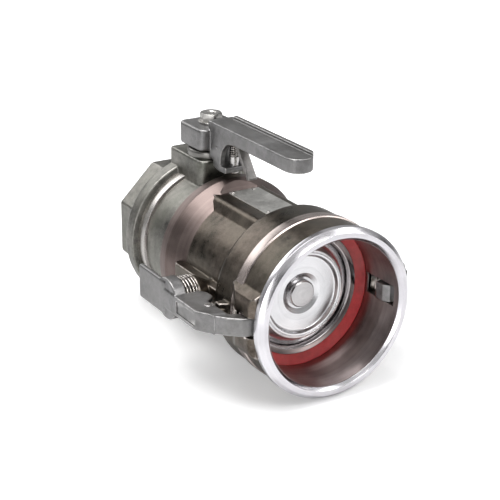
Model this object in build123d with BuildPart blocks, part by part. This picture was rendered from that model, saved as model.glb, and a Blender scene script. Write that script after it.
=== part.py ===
from build123d import *
import math
import os

os.makedirs("parts", exist_ok=True)

# Dry break coupling, 3 inch size, in millimetres.
# The flow axis is Y. The threaded end opens at y = 0 and the mouth faces -Y.
# The valve stem stands along +Z, and -X is the left side.

# Lengths along the flow
tail_length = 31.0
valve_length = 65.0
nose_length = 165.0
spigot_length = 12.5

# Fits and gaps
running_gap = 0.05
seat_gap = 0.1
free_gap = 0.3

# Mouth, collar and barrel of the nose housing
rim_radius = 70.0
rim_land_length = 8.6
rim_bevel_width = 3.8
rim_face_width = 3.8
mouth_bevel_length = 3.2
mouth_bevel_width = 2.5
seal_groove_step = 1.0
socket_depth = 46.0
guide_land_end = 12.8
collar_drop = 2.0
collar_length = 70.0
band_start = 35.0
band_length = 10.0
band_rise = 1.0
shoulder_length = 11.0
shoulder_round = 5.0
barrel_radius = 56.0
flange_radius = 66.0
flange_land_length = 9.0
flange_cone_length = 19.0
chamber_radius = 46.0

# Face seal and its retainer
seal_thickness = 10.0
seal_width = 9.8
seal_dish = 5.0
retainer_wall = 8.6
retainer_lip_rise = 0.8
retainer_lip_overlap = 1.2
retainer_thread_step = 1.7
retainer_thread_length = 11.0
spider_thickness = 6.0
spider_hub_reach = 8.0
seat_front_length = 2.4
seat_cone_length = 3.4
seat_cone_width = 3.3

# Poppet
poppet_setback = 1.0
poppet_flank_length = 7.2
poppet_rim_radius = 37.0
poppet_rim_width = 3.0
poppet_edge_gap = 0.4
poppet_piston_length = 6.0
poppet_hub_radius = 14.0
poppet_hub_length = 12.0
dish_depth = 3.1
boss_radius = 11.5
boss_groove_width = 6.0
boss_groove_depth = 2.2
boss_thickness = 4.0
shaft_radius = 8.0

# Valve housing
body_radius = 59.5
land_radius = 62.0
shoulder_flange_radius = 67.0
shoulder_flange_length = 17.4
shoulder_chamfer = 4.0
tower_width = 43.0
tower_reach = 20.8
tower_corner = 8.5
tower_height = 78.0
stem_setback = 28.7
tail_spigot_radius = 50.0
tail_spigot_length = 15.5

# Threaded end
octagon_across_flats = 109.5
octagon_corner_chamfer = 2.0
thread_radius = 42.8
thread_length = 28.0
tail_bore_radius = 40.5

# Stem, crank and yoke
stem_radius = 9.0
stem_square = 12.4
stem_bottom = 20.5
stem_square_height = 9.5
bush_wall = 4.0
bush_length = 12.0
ring_section = 1.6
gland_cap_radius = 20.5
gland_cap_height = 6.5
gland_plug_length = 8.0
crank_radius = 18.0
crank_thickness = 9.0
crank_hub_radius = 12.5
crank_eye_radius = 8.0
crank_pin_radius = 4.0
roller_radius = 6.0
roller_height = 9.5
roller_play = 0.85
yoke_wall = 5.0
yoke_plate_height = 11.0
yoke_hub_radius = 12.0
yoke_pin_radius = 2.5

# Handle
hub_size = 40.0
hub_width = 43.0
hub_clearance = 1.5
hub_height = 19.0
hub_corner = 6.5
hub_edge = 3.0
bar_width = 24.0
bar_rise = 14.0
bar_thickness = 12.0
bar_reach = 146.0
rim_strip_width = 4.0
rim_strip_height = 2.5
leg_clearance = 2.9
leg_back_reach = 15.0
leg_front_reach = 35.7
foot_reach = 45.0
leg_arch = 20.0
leg_tower_room = 27.2
leg_gland_room = 21.4
channel_width = 15.0
channel_back_reach = 30.2
channel_roof = 3.0
bolt_radius = 5.0
bolt_flats = 17.0
bolt_head_height = 7.0
bolt_length = 22.0
washer_radius = 11.0
washer_thickness = 1.6

# Trigger and locking plunger
trigger_width = 8.4
trigger_thickness = 3.8
trigger_pivot_reach = 47.2
trigger_pivot_rise = 2.5
trigger_bend_reach = 51.1
trigger_bend_drop = 9.0
trigger_tip_reach = 67.4
trigger_tip_drop = 31.0
trigger_eye_radius = 4.2
trigger_pin_radius = 2.0
plunger_reach = 38.7
plunger_radius = 4.0
plunger_stem_radius = 1.9
plunger_head_radius = 3.6
plunger_shoulder_drop = 12.0
toe_bottom_drop = 4.0
toe_top_drop = 0.5
toe_width = 8.0
plunger_foot_height = 5.0
pawl_spring_radius = 4.3
pawl_wire_radius = 0.55
pawl_spring_turns = 5
spring_washer_radius = 5.6

# Pads on the nose housing
plate_pad_width = 49.0
plate_pad_start = 72.0
plate_pad_end = 151.0
plate_pad_top = 57.3
plate_notch_width = 36.0
lock_pad_width = 46.0
lock_pad_start = 156.0
lock_pad_radius = 69.6

# Latch arms, one on each side
pivot_depth = 52.0
pivot_inset = 14.5
latch_pin_radius = 3.0
cheek_thickness = 4.5
knuckle_radius = 6.5
arm_out = 98.5
arm_wall = 4.5
arm_half_height = 8.0
claw_half_height = 7.5
paddle_start = 95.0
paddle_end = 139.5
paddle_half_height = 14.4
paddle_round = 5.0
hook_reach = 55.5
window_start = 8.6
window_end = 44.0
window_half_height = 8.4
lug_out = 71.4
lug_half_height = 24.3
lug_ramp_start = 32.0
lug_end = 46.5
lug_root_inset = 8.0
lug_root_end = 57.0
knuckle_half_height = 3.1
rib_front_out = 66.8
rib_front_end = 69.0
rib_rear_out = 64.0
rib_half_height = 7.2
rib_start = 56.0
rib_end = 145.0
spring_depth = 95.0
spring_seat_root = 60.0
spring_seat_root_radius = 8.0
spring_seat_out = 75.5
spring_seat_radius = 15.2
spring_stud_radius = 12.0
spring_stud_out = 78.0
spring_cup_depth = 7.0
spring_cup_wall = 1.3
spring_cup_floor = 0.5
latch_spring_radius = 15.5
latch_wire_radius = 0.7
latch_spring_turns = 6

# Stations along the flow, worked out from the lengths
valve_y = -tail_length
nose_y = valve_y - valve_length
mouth_y = nose_y - nose_length
stem_y = nose_y + stem_setback
seal_y = mouth_y + socket_depth
seal_back_y = seal_y + seal_thickness
spider_y = nose_y - spigot_length

# Radii that follow from the ones above
socket_radius = rim_radius - rim_bevel_width - rim_face_width - mouth_bevel_width
seal_outer = socket_radius + seal_groove_step - seat_gap
seal_inner = seal_outer - seal_width
collar_radius = rim_radius - collar_drop
retainer_thread_radius = seal_inner - retainer_thread_step
retainer_bore = seal_inner - seat_gap - retainer_wall
spigot_radius = chamber_radius + 5.0
poppet_radius = retainer_bore + seat_cone_width - poppet_edge_gap
housing_bore = chamber_radius - 0.5
stem_bore = stem_radius + bush_wall
arm_inner = arm_out - arm_wall
pivot_out = arm_out - pivot_inset
lug_root_out = pivot_out - lug_root_inset
spring_boss_out = arm_inner - spring_cup_depth

# Heights that follow from the tower's and the lock pad's
hub_bottom = tower_height + gland_cap_height + hub_clearance
hub_top = hub_bottom + hub_height
bar_bottom = hub_bottom + bar_rise
bar_top = bar_bottom + bar_thickness
leg_bottom = lock_pad_radius + leg_clearance
channel_top = bar_bottom - channel_roof
trigger_pivot_height = bar_bottom + trigger_pivot_rise
toe_bottom = trigger_pivot_height - toe_bottom_drop
toe_top = trigger_pivot_height - toe_top_drop
plunger_shoulder = channel_top - plunger_shoulder_drop
seal_pocket = (bush_wall - 0.4) / 2
bush_top = tower_height - gland_plug_length - 4 * seal_pocket - 0.3
bush_bottom = bush_top - bush_length
crank_swing = math.radians(45)
yoke_y = stem_y + crank_radius * math.sin(crank_swing)


def turned(*corners, rounds=0.0, mode=Mode.ADD):
    """Turn a section of (radius, station) corners about the flow axis."""
    with BuildSketch(Plane.XY) as section:
        with BuildLine():
            FilletPolyline(*corners, radius=rounds, close=True)
        make_face()
    revolve(section.sketch, axis=Axis.Y, mode=mode)


def upright(x, y, radius, bottom, top, mode=Mode.ADD):
    """Stand a round bar or hole along Z between two heights."""
    with BuildSketch(Plane.XY.offset(bottom)) as section:
        with Locations((x, y)):
            Circle(radius)
    extrude(section.sketch, amount=top - bottom, mode=mode)


def block(x0, x1, y0, y1, z0, z1, mode=Mode.ADD):
    """Place a rectangular block by its six faces."""
    with Locations(((x0 + x1) / 2, (y0 + y1) / 2, (z0 + z1) / 2)):
        Box(abs(x1 - x0), abs(y1 - y0), abs(z1 - z0), mode=mode)


def ring_seal(radius, station, section_radius):
    """Turn a round-section seal ring about the flow axis."""
    with BuildSketch(Plane.XY) as section:
        with Locations((radius, station)):
            Circle(section_radius)
    revolve(section.sketch, axis=Axis.Y)


# Nose housing: mouth rim, collar, barrel and joint flange in one casting
with BuildPart() as nose_housing:
    rim_face_outer = rim_radius - rim_bevel_width
    mouth_radius = rim_face_outer - rim_face_width
    band_y = mouth_y + band_start
    collar_end_y = mouth_y + collar_length
    cone_end_y = nose_y - flange_land_length
    outer_corners = [
        (rim_face_outer, mouth_y),
        (rim_radius, mouth_y + rim_bevel_width),
        (rim_radius, mouth_y + rim_land_length),
        (collar_radius, mouth_y + rim_land_length + collar_drop),
        (collar_radius, band_y),
        (collar_radius + band_rise, band_y + band_rise),
        (collar_radius + band_rise, band_y + band_length - band_rise),
        (collar_radius, band_y + band_length),
        (collar_radius, collar_end_y),
        (barrel_radius, collar_end_y + shoulder_length),
        (barrel_radius, cone_end_y - flange_cone_length),
        (flange_radius, cone_end_y),
        (flange_radius, nose_y),
    ]
    outer_rounds = [0, 0, 0, 0, 0, 0, 0, 0, shoulder_round, shoulder_round, 2 * shoulder_round, 3, 1]
    inner_corners = [
        (spigot_radius, nose_y),
        (spigot_radius, spider_y - spider_thickness),
        (chamber_radius, spider_y - spider_thickness),
        (chamber_radius, seal_back_y + retainer_thread_length + 2),
        (retainer_thread_radius, seal_back_y + retainer_thread_length + 2),
        (retainer_thread_radius, seal_back_y),
        (seal_outer + seat_gap, seal_back_y),
        (seal_outer + seat_gap, mouth_y + guide_land_end),
        (socket_radius, mouth_y + guide_land_end),
        (socket_radius, mouth_y + mouth_bevel_length),
        (mouth_radius, mouth_y),
    ]
    turned(*outer_corners, *inner_corners, rounds=outer_rounds + [0] * len(inner_corners))
    pad_break_y = spider_y - spider_thickness - 1
    block(-plate_pad_width / 2, plate_pad_width / 2, mouth_y + plate_pad_start, pad_break_y,
          chamber_radius + 2, plate_pad_top)
    block(-plate_pad_width / 2, plate_pad_width / 2, pad_break_y - 1, mouth_y + plate_pad_end,
          spigot_radius + 2, plate_pad_top)
    block(-plate_notch_width / 2, plate_notch_width / 2, cone_end_y - flange_cone_length - 2,
          mouth_y + plate_pad_end - 1.5, plate_pad_top, flange_radius, mode=Mode.SUBTRACT)
    with BuildSketch(Plane.XZ.offset(-mouth_y - lock_pad_start)) as lock_outline:
        with BuildLine():
            half_pad = lock_pad_width / 2
            pad_edge = math.sqrt(lock_pad_radius ** 2 - half_pad ** 2)
            ThreePointArc((-half_pad, pad_edge), (0, lock_pad_radius), (half_pad, pad_edge))
            Polyline((half_pad, pad_edge), (half_pad, spigot_radius + 3), (-half_pad, spigot_radius + 3),
                     (-half_pad, pad_edge))
        make_face()
    extrude(lock_outline.sketch, amount=lock_pad_start - nose_length)
    for side in (-1, 1):
        with BuildSketch(Plane.XY.offset(-lug_half_height)) as lug_outline:
            with BuildLine():
                FilletPolyline(
                    (side * (socket_radius + 1.6), mouth_y + rim_land_length - 1),
                    (side * lug_out, mouth_y + rim_land_length - 1),
                    (side * lug_out, mouth_y + lug_ramp_start),
                    (side * (socket_radius + 5.6), mouth_y + lug_end),
                    (side * (socket_radius + 1.6), mouth_y + lug_end),
                    radius=[0, 0, 8, 3, 0], close=True)
            make_face()
        extrude(lug_outline.sketch, amount=2 * lug_half_height)
        block(side * (socket_radius + 2.6), side * lug_root_out, mouth_y + lug_end - 2,
              mouth_y + lug_root_end, -rib_half_height - 0.4, rib_half_height + 0.4)
        with BuildSketch(Plane.XY.offset(-rib_half_height)) as rib_outline:
            with BuildLine():
                FilletPolyline(
                    (side * (barrel_radius - 3), mouth_y + rib_start),
                    (side * rib_front_out, mouth_y + rib_start),
                    (side * rib_front_out, mouth_y + rib_front_end),
                    (side * rib_rear_out, mouth_y + rib_front_end + 7),
                    (side * rib_rear_out, mouth_y + rib_end),
                    (side * (barrel_radius - 3), mouth_y + rib_end),
                    radius=[0, 0, 4, 4, 4, 0], close=True)
            make_face()
        extrude(rib_outline.sketch, amount=2 * rib_half_height)
        with BuildSketch(Plane.XY.offset(-knuckle_half_height)) as knuckle_outline:
            with Locations((side * pivot_out, mouth_y + pivot_depth)):
                Circle(knuckle_radius)
            with Locations((side * (pivot_out + socket_radius + 2.6) / 2, mouth_y + pivot_depth)):
                Rectangle(pivot_out - socket_radius - 2.6, 2 * knuckle_radius - 4)
        extrude(knuckle_outline.sketch, amount=2 * knuckle_half_height)
        block(side * (socket_radius - 9), side * (lug_out + 0.6), mouth_y + window_start,
              mouth_y + window_end, -window_half_height, window_half_height, mode=Mode.SUBTRACT)
        upright(side * pivot_out, mouth_y + pivot_depth, latch_pin_radius + 0.02,
                -knuckle_half_height - 1, knuckle_half_height + 1, mode=Mode.SUBTRACT)
        with BuildSketch(Plane.XY) as seat_outline:
            with BuildLine():
                Polyline((side * (chamber_radius + 3), mouth_y + spring_depth),
                         (side * (chamber_radius + 3), mouth_y + spring_depth + spring_seat_root_radius),
                         (side * spring_seat_root, mouth_y + spring_depth + spring_seat_root_radius),
                         (side * (spring_seat_out - 2), mouth_y + spring_depth + spring_seat_radius),
                         (side * spring_seat_out, mouth_y + spring_depth + spring_seat_radius),
                         (side * spring_seat_out, mouth_y + spring_depth + spring_stud_radius),
                         (side * spring_stud_out, mouth_y + spring_depth + spring_stud_radius),
                         (side * spring_stud_out, mouth_y + spring_depth), close=True)
            make_face()
        revolve(seat_outline.sketch, axis=Axis((0, mouth_y + spring_depth, 0), (1, 0, 0)))
nose_housing.part.label = "nose_housing"
export_step(nose_housing.part, "parts/nose_housing.step")

# Valve housing: barrel that holds the stem tower and joins the nose to the threaded end
with BuildPart() as valve_housing:
    land_y = nose_y + stem_setback + 8
    flange_y = valve_y - shoulder_flange_length
    turned(
        (housing_bore, spider_y),
        (spigot_radius - seat_gap, spider_y),
        (spigot_radius - seat_gap, nose_y - 7.5),
        (spigot_radius - 2.6, nose_y - 7.5),
        (spigot_radius - 2.6, nose_y - 3.5),
        (spigot_radius - seat_gap, nose_y - 3.5),
        (spigot_radius - seat_gap, nose_y),
        (body_radius, nose_y),
        (body_radius, land_y),
        (land_radius, land_y + 0.6),
        (land_radius, flange_y),
        (shoulder_flange_radius, flange_y + 1.5),
        (shoulder_flange_radius, valve_y - shoulder_chamfer),
        (shoulder_flange_radius - shoulder_chamfer - 1, valve_y),
        (tail_spigot_radius, valve_y),
        (tail_spigot_radius, valve_y - tail_spigot_length),
        (housing_bore, valve_y - tail_spigot_length),
    )
    tower_bottom = tail_spigot_radius + 3
    with BuildSketch(Plane.XY.offset(tower_bottom)) as tower_outline:
        with BuildLine():
            FilletPolyline(
                (-tower_width / 2, stem_y - tower_reach),
                (tower_width / 2, stem_y - tower_reach),
                (tower_width / 2, valve_y - 1),
                (-tower_width / 2, valve_y - 1),
                radius=[tower_corner, tower_corner, 2, 2], close=True)
        make_face()
    extrude(amount=tower_height - tower_bottom)
    fillet(valve_housing.faces().sort_by(Axis.Z)[-1].edges(), radius=1.8)
    upright(0, stem_y, stem_bore, bush_bottom, tower_height + 1, mode=Mode.SUBTRACT)
    upright(0, stem_y, stem_radius + 0.4, 0, bush_bottom + 1, mode=Mode.SUBTRACT)
valve_housing.part.label = "valve_housing"
export_step(valve_housing.part, "parts/valve_housing.step")

# Threaded end: octagonal wrench flats outside, pipe thread inside
with BuildPart() as threaded_end:
    with BuildSketch(Plane.XZ) as octagon:
        RegularPolygon(octagon_across_flats / 2, 8, major_radius=False, rotation=22.5)
    extrude(octagon.sketch, amount=tail_length)
    corner_radius = octagon_across_flats / 2 / math.cos(math.pi / 8)
    turned(
        (0, 0),
        (corner_radius - octagon_corner_chamfer, 0),
        (corner_radius + 0.5, -2 * octagon_corner_chamfer),
        (corner_radius + 0.5, -tail_length),
        (0, -tail_length),
        mode=Mode.INTERSECT,
    )
    turned(
        (0, valve_y - tail_spigot_length + free_gap),
        (tail_spigot_radius - seat_gap, valve_y - tail_spigot_length + free_gap),
        (tail_spigot_radius - seat_gap, valve_y - 9),
        (tail_spigot_radius - 2.6, valve_y - 9),
        (tail_spigot_radius - 2.6, valve_y - 5),
        (tail_spigot_radius - seat_gap, valve_y - 5),
        (tail_spigot_radius - seat_gap, valve_y),
        (0, valve_y),
    )
    turned(
        (0, 1),
        (thread_radius, 1),
        (thread_radius, -thread_length),
        (tail_bore_radius, -thread_length),
        (tail_bore_radius, valve_y - tail_spigot_length - 1),
        (0, valve_y - tail_spigot_length - 1),
        mode=Mode.SUBTRACT,
    )
threaded_end.part.label = "threaded_end"
export_step(threaded_end.part, "parts/threaded_end.step")

# Seal rings in the two housing joints
for name, seal_groove, seal_station in (
    ("nose_joint_seal", spigot_radius, nose_y - 5.5),
    ("tail_joint_seal", tail_spigot_radius, valve_y - 7),
):
    with BuildPart() as joint_seal:
        ring_seal(seal_groove - 1.32, seal_station, 1.24)
    joint_seal.part.label = name
    export_step(joint_seal.part, f"parts/{name}.step")

# Face seal: the red ring that the mating adaptor presses against
with BuildPart() as face_seal:
    seal_lip_y = seal_y + seal_dish
    turned(
        (seal_inner, seal_lip_y),
        (seal_inner + retainer_lip_overlap, seal_lip_y),
        (seal_outer, seal_y),
        (seal_outer, seal_back_y),
        (seal_inner, seal_back_y),
        rounds=[0, 0, 1, 0, 0],
    )
face_seal.part.label = "face_seal"
export_step(face_seal.part, "parts/face_seal.step")

# Seal retainer: screwed ring that traps the face seal and carries the poppet's seat
with BuildPart() as seal_retainer:
    lip_y = seal_lip_y - retainer_lip_rise
    seat_front_y = lip_y + seat_front_length + seat_cone_length - 1
    seat_y = seat_front_y + seat_cone_length
    turned(
        (retainer_bore + seat_cone_width, lip_y + seat_front_length),
        (retainer_bore + seat_cone_width + 1.5, lip_y),
        (seal_inner + retainer_lip_overlap, lip_y),
        (seal_inner + retainer_lip_overlap, seal_lip_y - 0.05),
        (seal_inner - seat_gap, seal_lip_y - 0.05),
        (seal_inner - seat_gap, seal_back_y),
        (retainer_thread_radius - seat_gap, seal_back_y),
        (retainer_thread_radius - seat_gap, seal_back_y + retainer_thread_length),
        (chamber_radius - 1, seal_back_y + retainer_thread_length),
        (retainer_bore, seal_back_y + retainer_thread_length - 2),
        (retainer_bore, seat_y),
        (retainer_bore + seat_cone_width, seat_front_y),
        rounds=[0.5, 1.2, 0.5, 0, 0, 0, 0, 0, 0, 0, 0, 0],
    )
seal_retainer.part.label = "seal_retainer"
export_step(seal_retainer.part, "parts/seal_retainer.step")

# Poppet: dished valve disc that moves forward out of its seat
with BuildPart() as poppet:
    poppet_front_y = seal_y + poppet_setback
    poppet_edge_y = poppet_front_y + poppet_flank_length
    dish_y = poppet_front_y + dish_depth
    boss_y = dish_y + boss_groove_depth
    piston_y = seat_y + free_gap
    back_y = piston_y + poppet_piston_length
    piston_radius = retainer_bore - free_gap
    rim_middle = poppet_rim_radius - poppet_rim_width / 2
    rim_inner = poppet_rim_radius - poppet_rim_width
    turned(
        (shaft_radius + running_gap, back_y + poppet_hub_length),
        (shaft_radius + running_gap, boss_y),
        (boss_radius + 3, boss_y),
        (boss_radius + boss_groove_width, dish_y),
        (rim_inner - 2, dish_y),
        (rim_inner, poppet_front_y),
        (rim_middle - 0.4, poppet_front_y),
        (rim_middle, poppet_front_y + 0.7),
        (rim_middle + 0.4, poppet_front_y),
        (poppet_rim_radius, poppet_front_y),
        (poppet_radius, poppet_edge_y),
        (poppet_radius, seat_front_y - poppet_edge_gap),
        (piston_radius, piston_y),
        (piston_radius, piston_y + 1.6),
        (piston_radius - 2.6, piston_y + 1.6),
        (piston_radius - 2.6, piston_y + 4.6),
        (piston_radius, piston_y + 4.6),
        (piston_radius, back_y),
        (poppet_hub_radius, back_y),
        (poppet_hub_radius, back_y + poppet_hub_length),
        rounds=[0, 0, 1.5, 1.5, 2, 0.5, 0, 0, 0, 0.6, 0.5, 0.3, 0, 0, 0, 0, 0, 0, 2, 1],
    )
poppet.part.label = "poppet"
export_step(poppet.part, "parts/poppet.step")

with BuildPart() as poppet_seal:
    ring_seal(piston_radius - 1.33, piston_y + 3.1, 1.24)
poppet_seal.part.label = "poppet_seal"
export_step(poppet_seal.part, "parts/poppet_seal.step")

# Poppet shaft with the flush round nut that holds the poppet on it
with BuildPart() as poppet_shaft:
    turned((0, boss_y), (shaft_radius, boss_y), (shaft_radius, yoke_y + yoke_hub_radius - 1),
           (0, yoke_y + yoke_hub_radius - 1))
poppet_shaft.part.label = "poppet_shaft"
export_step(poppet_shaft.part, "parts/poppet_shaft.step")

with BuildPart() as poppet_nut:
    turned((0, boss_y - boss_thickness), (boss_radius, boss_y - boss_thickness), (boss_radius, boss_y),
           (0, boss_y), rounds=[0, 0.8, 0, 0])
poppet_nut.part.label = "poppet_nut"
export_step(poppet_nut.part, "parts/poppet_nut.step")

# Guide spider: three-legged carrier of the shaft's guide bush
with BuildPart() as guide_spider:
    spider_front_y = spider_y - spider_thickness + seat_gap
    spider_back_y = spider_y - seat_gap
    spider_hub_front = spider_front_y - spider_hub_reach
    spider_hub_back = spider_back_y + spider_hub_reach
    bush_outer = shaft_radius + 3
    hub_outer = bush_outer + 4
    turned((chamber_radius - 1, spider_front_y), (spigot_radius - seat_gap, spider_front_y),
           (spigot_radius - seat_gap, spider_back_y), (chamber_radius - 1, spider_back_y))
    turned((bush_outer, spider_hub_front), (hub_outer, spider_hub_front),
           (hub_outer, spider_hub_back), (bush_outer, spider_hub_back))
    with BuildSketch(Plane.XZ.offset(-spider_back_y)) as spokes:
        with PolarLocations((hub_outer + chamber_radius) / 2 - 0.5, 3, start_angle=90):
            Rectangle(chamber_radius - hub_outer + 1, 6)
    extrude(spokes.sketch, amount=spider_back_y - spider_front_y)
guide_spider.part.label = "guide_spider"
export_step(guide_spider.part, "parts/guide_spider.step")

with BuildPart() as guide_bush:
    turned((shaft_radius + running_gap, spider_hub_front - 1), (bush_outer - 0.02, spider_hub_front - 1),
           (bush_outer - 0.02, spider_hub_back + 1), (shaft_radius + running_gap, spider_hub_back + 1))
guide_bush.part.label = "guide_bush"
export_step(guide_bush.part, "parts/guide_bush.step")

# Yoke: slotted block on the shaft's rear end, driven by the crank roller
slot_half = roller_radius + roller_play
yoke_half = slot_half + yoke_wall
roller_bottom = shaft_radius + 2
slot_near = crank_radius * math.cos(crank_swing) - roller_radius - 0.7
slot_far = crank_radius + roller_radius + 0.7
with BuildPart() as yoke:
    turned((shaft_radius + 0.02, yoke_y - yoke_half), (yoke_hub_radius, yoke_y - yoke_half),
           (yoke_hub_radius, yoke_y + yoke_half), (shaft_radius + 0.02, yoke_y + yoke_half))
    block(-yoke_hub_radius, slot_far + yoke_wall, yoke_y - yoke_half, yoke_y + yoke_half,
          shaft_radius + 1, shaft_radius + 1 + yoke_plate_height)
    block(slot_near, slot_far, yoke_y - slot_half, yoke_y + slot_half,
          shaft_radius + 1, shaft_radius + 2 + yoke_plate_height, mode=Mode.SUBTRACT)
    fillet(yoke.edges().filter_by(Axis.Z).group_by(Axis.X)[-1], radius=4)
    with BuildSketch(Plane.YZ.offset(-yoke_hub_radius - 1)) as pin_outline:
        with Locations((yoke_y, 0)):
            Circle(yoke_pin_radius)
    extrude(pin_outline.sketch, amount=2 * yoke_hub_radius + 2, mode=Mode.SUBTRACT)
yoke.part.label = "yoke"
export_step(yoke.part, "parts/yoke.step")

with BuildPart() as yoke_pin:
    for side in (-1, 1):
        with BuildSketch(Plane.YZ.offset(side * (shaft_radius + 0.1))) as pin_end:
            with Locations((yoke_y, 0)):
                Circle(yoke_pin_radius - 0.02)
        extrude(pin_end.sketch, amount=side * (yoke_hub_radius - shaft_radius - 1))
yoke_pin.part.label = "yoke_pin"
export_step(yoke_pin.part, "parts/yoke_pin.step")

# Stem: square at both ends, for the crank below and the handle above
stem_neck = stem_bottom + stem_square_height
with BuildPart() as stem:
    upright(0, stem_y, stem_radius, stem_neck, hub_bottom + 0.5)
    block(-stem_square / 2, stem_square / 2, stem_y - stem_square / 2, stem_y + stem_square / 2,
          stem_bottom, stem_neck)
    block(-stem_square / 2, stem_square / 2, stem_y - stem_square / 2, stem_y + stem_square / 2,
          hub_bottom + 0.5, hub_bottom + hub_height - 1)
    upright(0, stem_y, bolt_radius + 0.02, hub_bottom + hub_height - bolt_length - 2,
            hub_bottom + hub_height, mode=Mode.SUBTRACT)
stem.part.label = "stem"
export_step(stem.part, "parts/stem.step")

# Stem bush, seal rings and gland
with BuildPart() as stem_bush:
    upright(0, stem_y, stem_bore - 0.02, bush_bottom, bush_top)
    upright(0, stem_y, stem_radius + running_gap, bush_bottom, bush_top, mode=Mode.SUBTRACT)
stem_bush.part.label = "stem_bush"
export_step(stem_bush.part, "parts/stem_bush.step")

with BuildPart() as stem_seals:
    for count in range(2):
        seal_height = bush_top + seal_pocket + 0.1 + count * (2 * seal_pocket + 0.1)
        with BuildSketch(Plane.XZ.offset(-stem_y)) as seal_section:
            with Locations((stem_radius + bush_wall / 2, seal_height)):
                Circle(seal_pocket)
        revolve(seal_section.sketch, axis=Axis((0, stem_y, 0), (0, 0, 1)))
stem_seals.part.label = "stem_seals"
export_step(stem_seals.part, "parts/stem_seals.step")

with BuildPart() as gland_ring:
    upright(0, stem_y, stem_bore - seat_gap, tower_height - gland_plug_length, tower_height)
    upright(0, stem_y, gland_cap_radius, tower_height, tower_height + gland_cap_height)
    fillet(gland_ring.edges().filter_by(GeomType.CIRCLE).sort_by(Axis.Z)[-1], radius=2.5)
    upright(0, stem_y, stem_radius + 0.1, 0, tower_height + gland_cap_height + 1, mode=Mode.SUBTRACT)
gland_ring.part.label = "gland_ring"
export_step(gland_ring.part, "parts/gland_ring.step")

# Crank, its pin and roller
crank_pin_x = crank_radius * math.cos(crank_swing)
with BuildPart() as crank:
    with BuildSketch(Plane.XY.offset(stem_neck - crank_thickness)) as crank_outline:
        with Locations((0, stem_y)):
            Circle(crank_hub_radius)
        with Locations((crank_pin_x, yoke_y)):
            Circle(crank_eye_radius)
        make_hull()
        with Locations((0, stem_y)):
            Rectangle(stem_square + 0.1, stem_square + 0.1, mode=Mode.SUBTRACT)
        with Locations((crank_pin_x, yoke_y)):
            Circle(crank_pin_radius + 0.02, mode=Mode.SUBTRACT)
    extrude(crank_outline.sketch, amount=crank_thickness - 0.05)
crank.part.label = "crank"
export_step(crank.part, "parts/crank.step")

with BuildPart() as crank_pin:
    upright(crank_pin_x, yoke_y, crank_pin_radius, roller_bottom, stem_neck)
crank_pin.part.label = "crank_pin"
export_step(crank_pin.part, "parts/crank_pin.step")

with BuildPart() as crank_roller:
    upright(crank_pin_x, yoke_y, roller_radius, roller_bottom, roller_bottom + roller_height)
    upright(crank_pin_x, yoke_y, crank_pin_radius + running_gap, roller_bottom,
            roller_bottom + roller_height, mode=Mode.SUBTRACT)
crank_roller.part.label = "crank_roller"
export_step(crank_roller.part, "parts/crank_roller.step")

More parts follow.
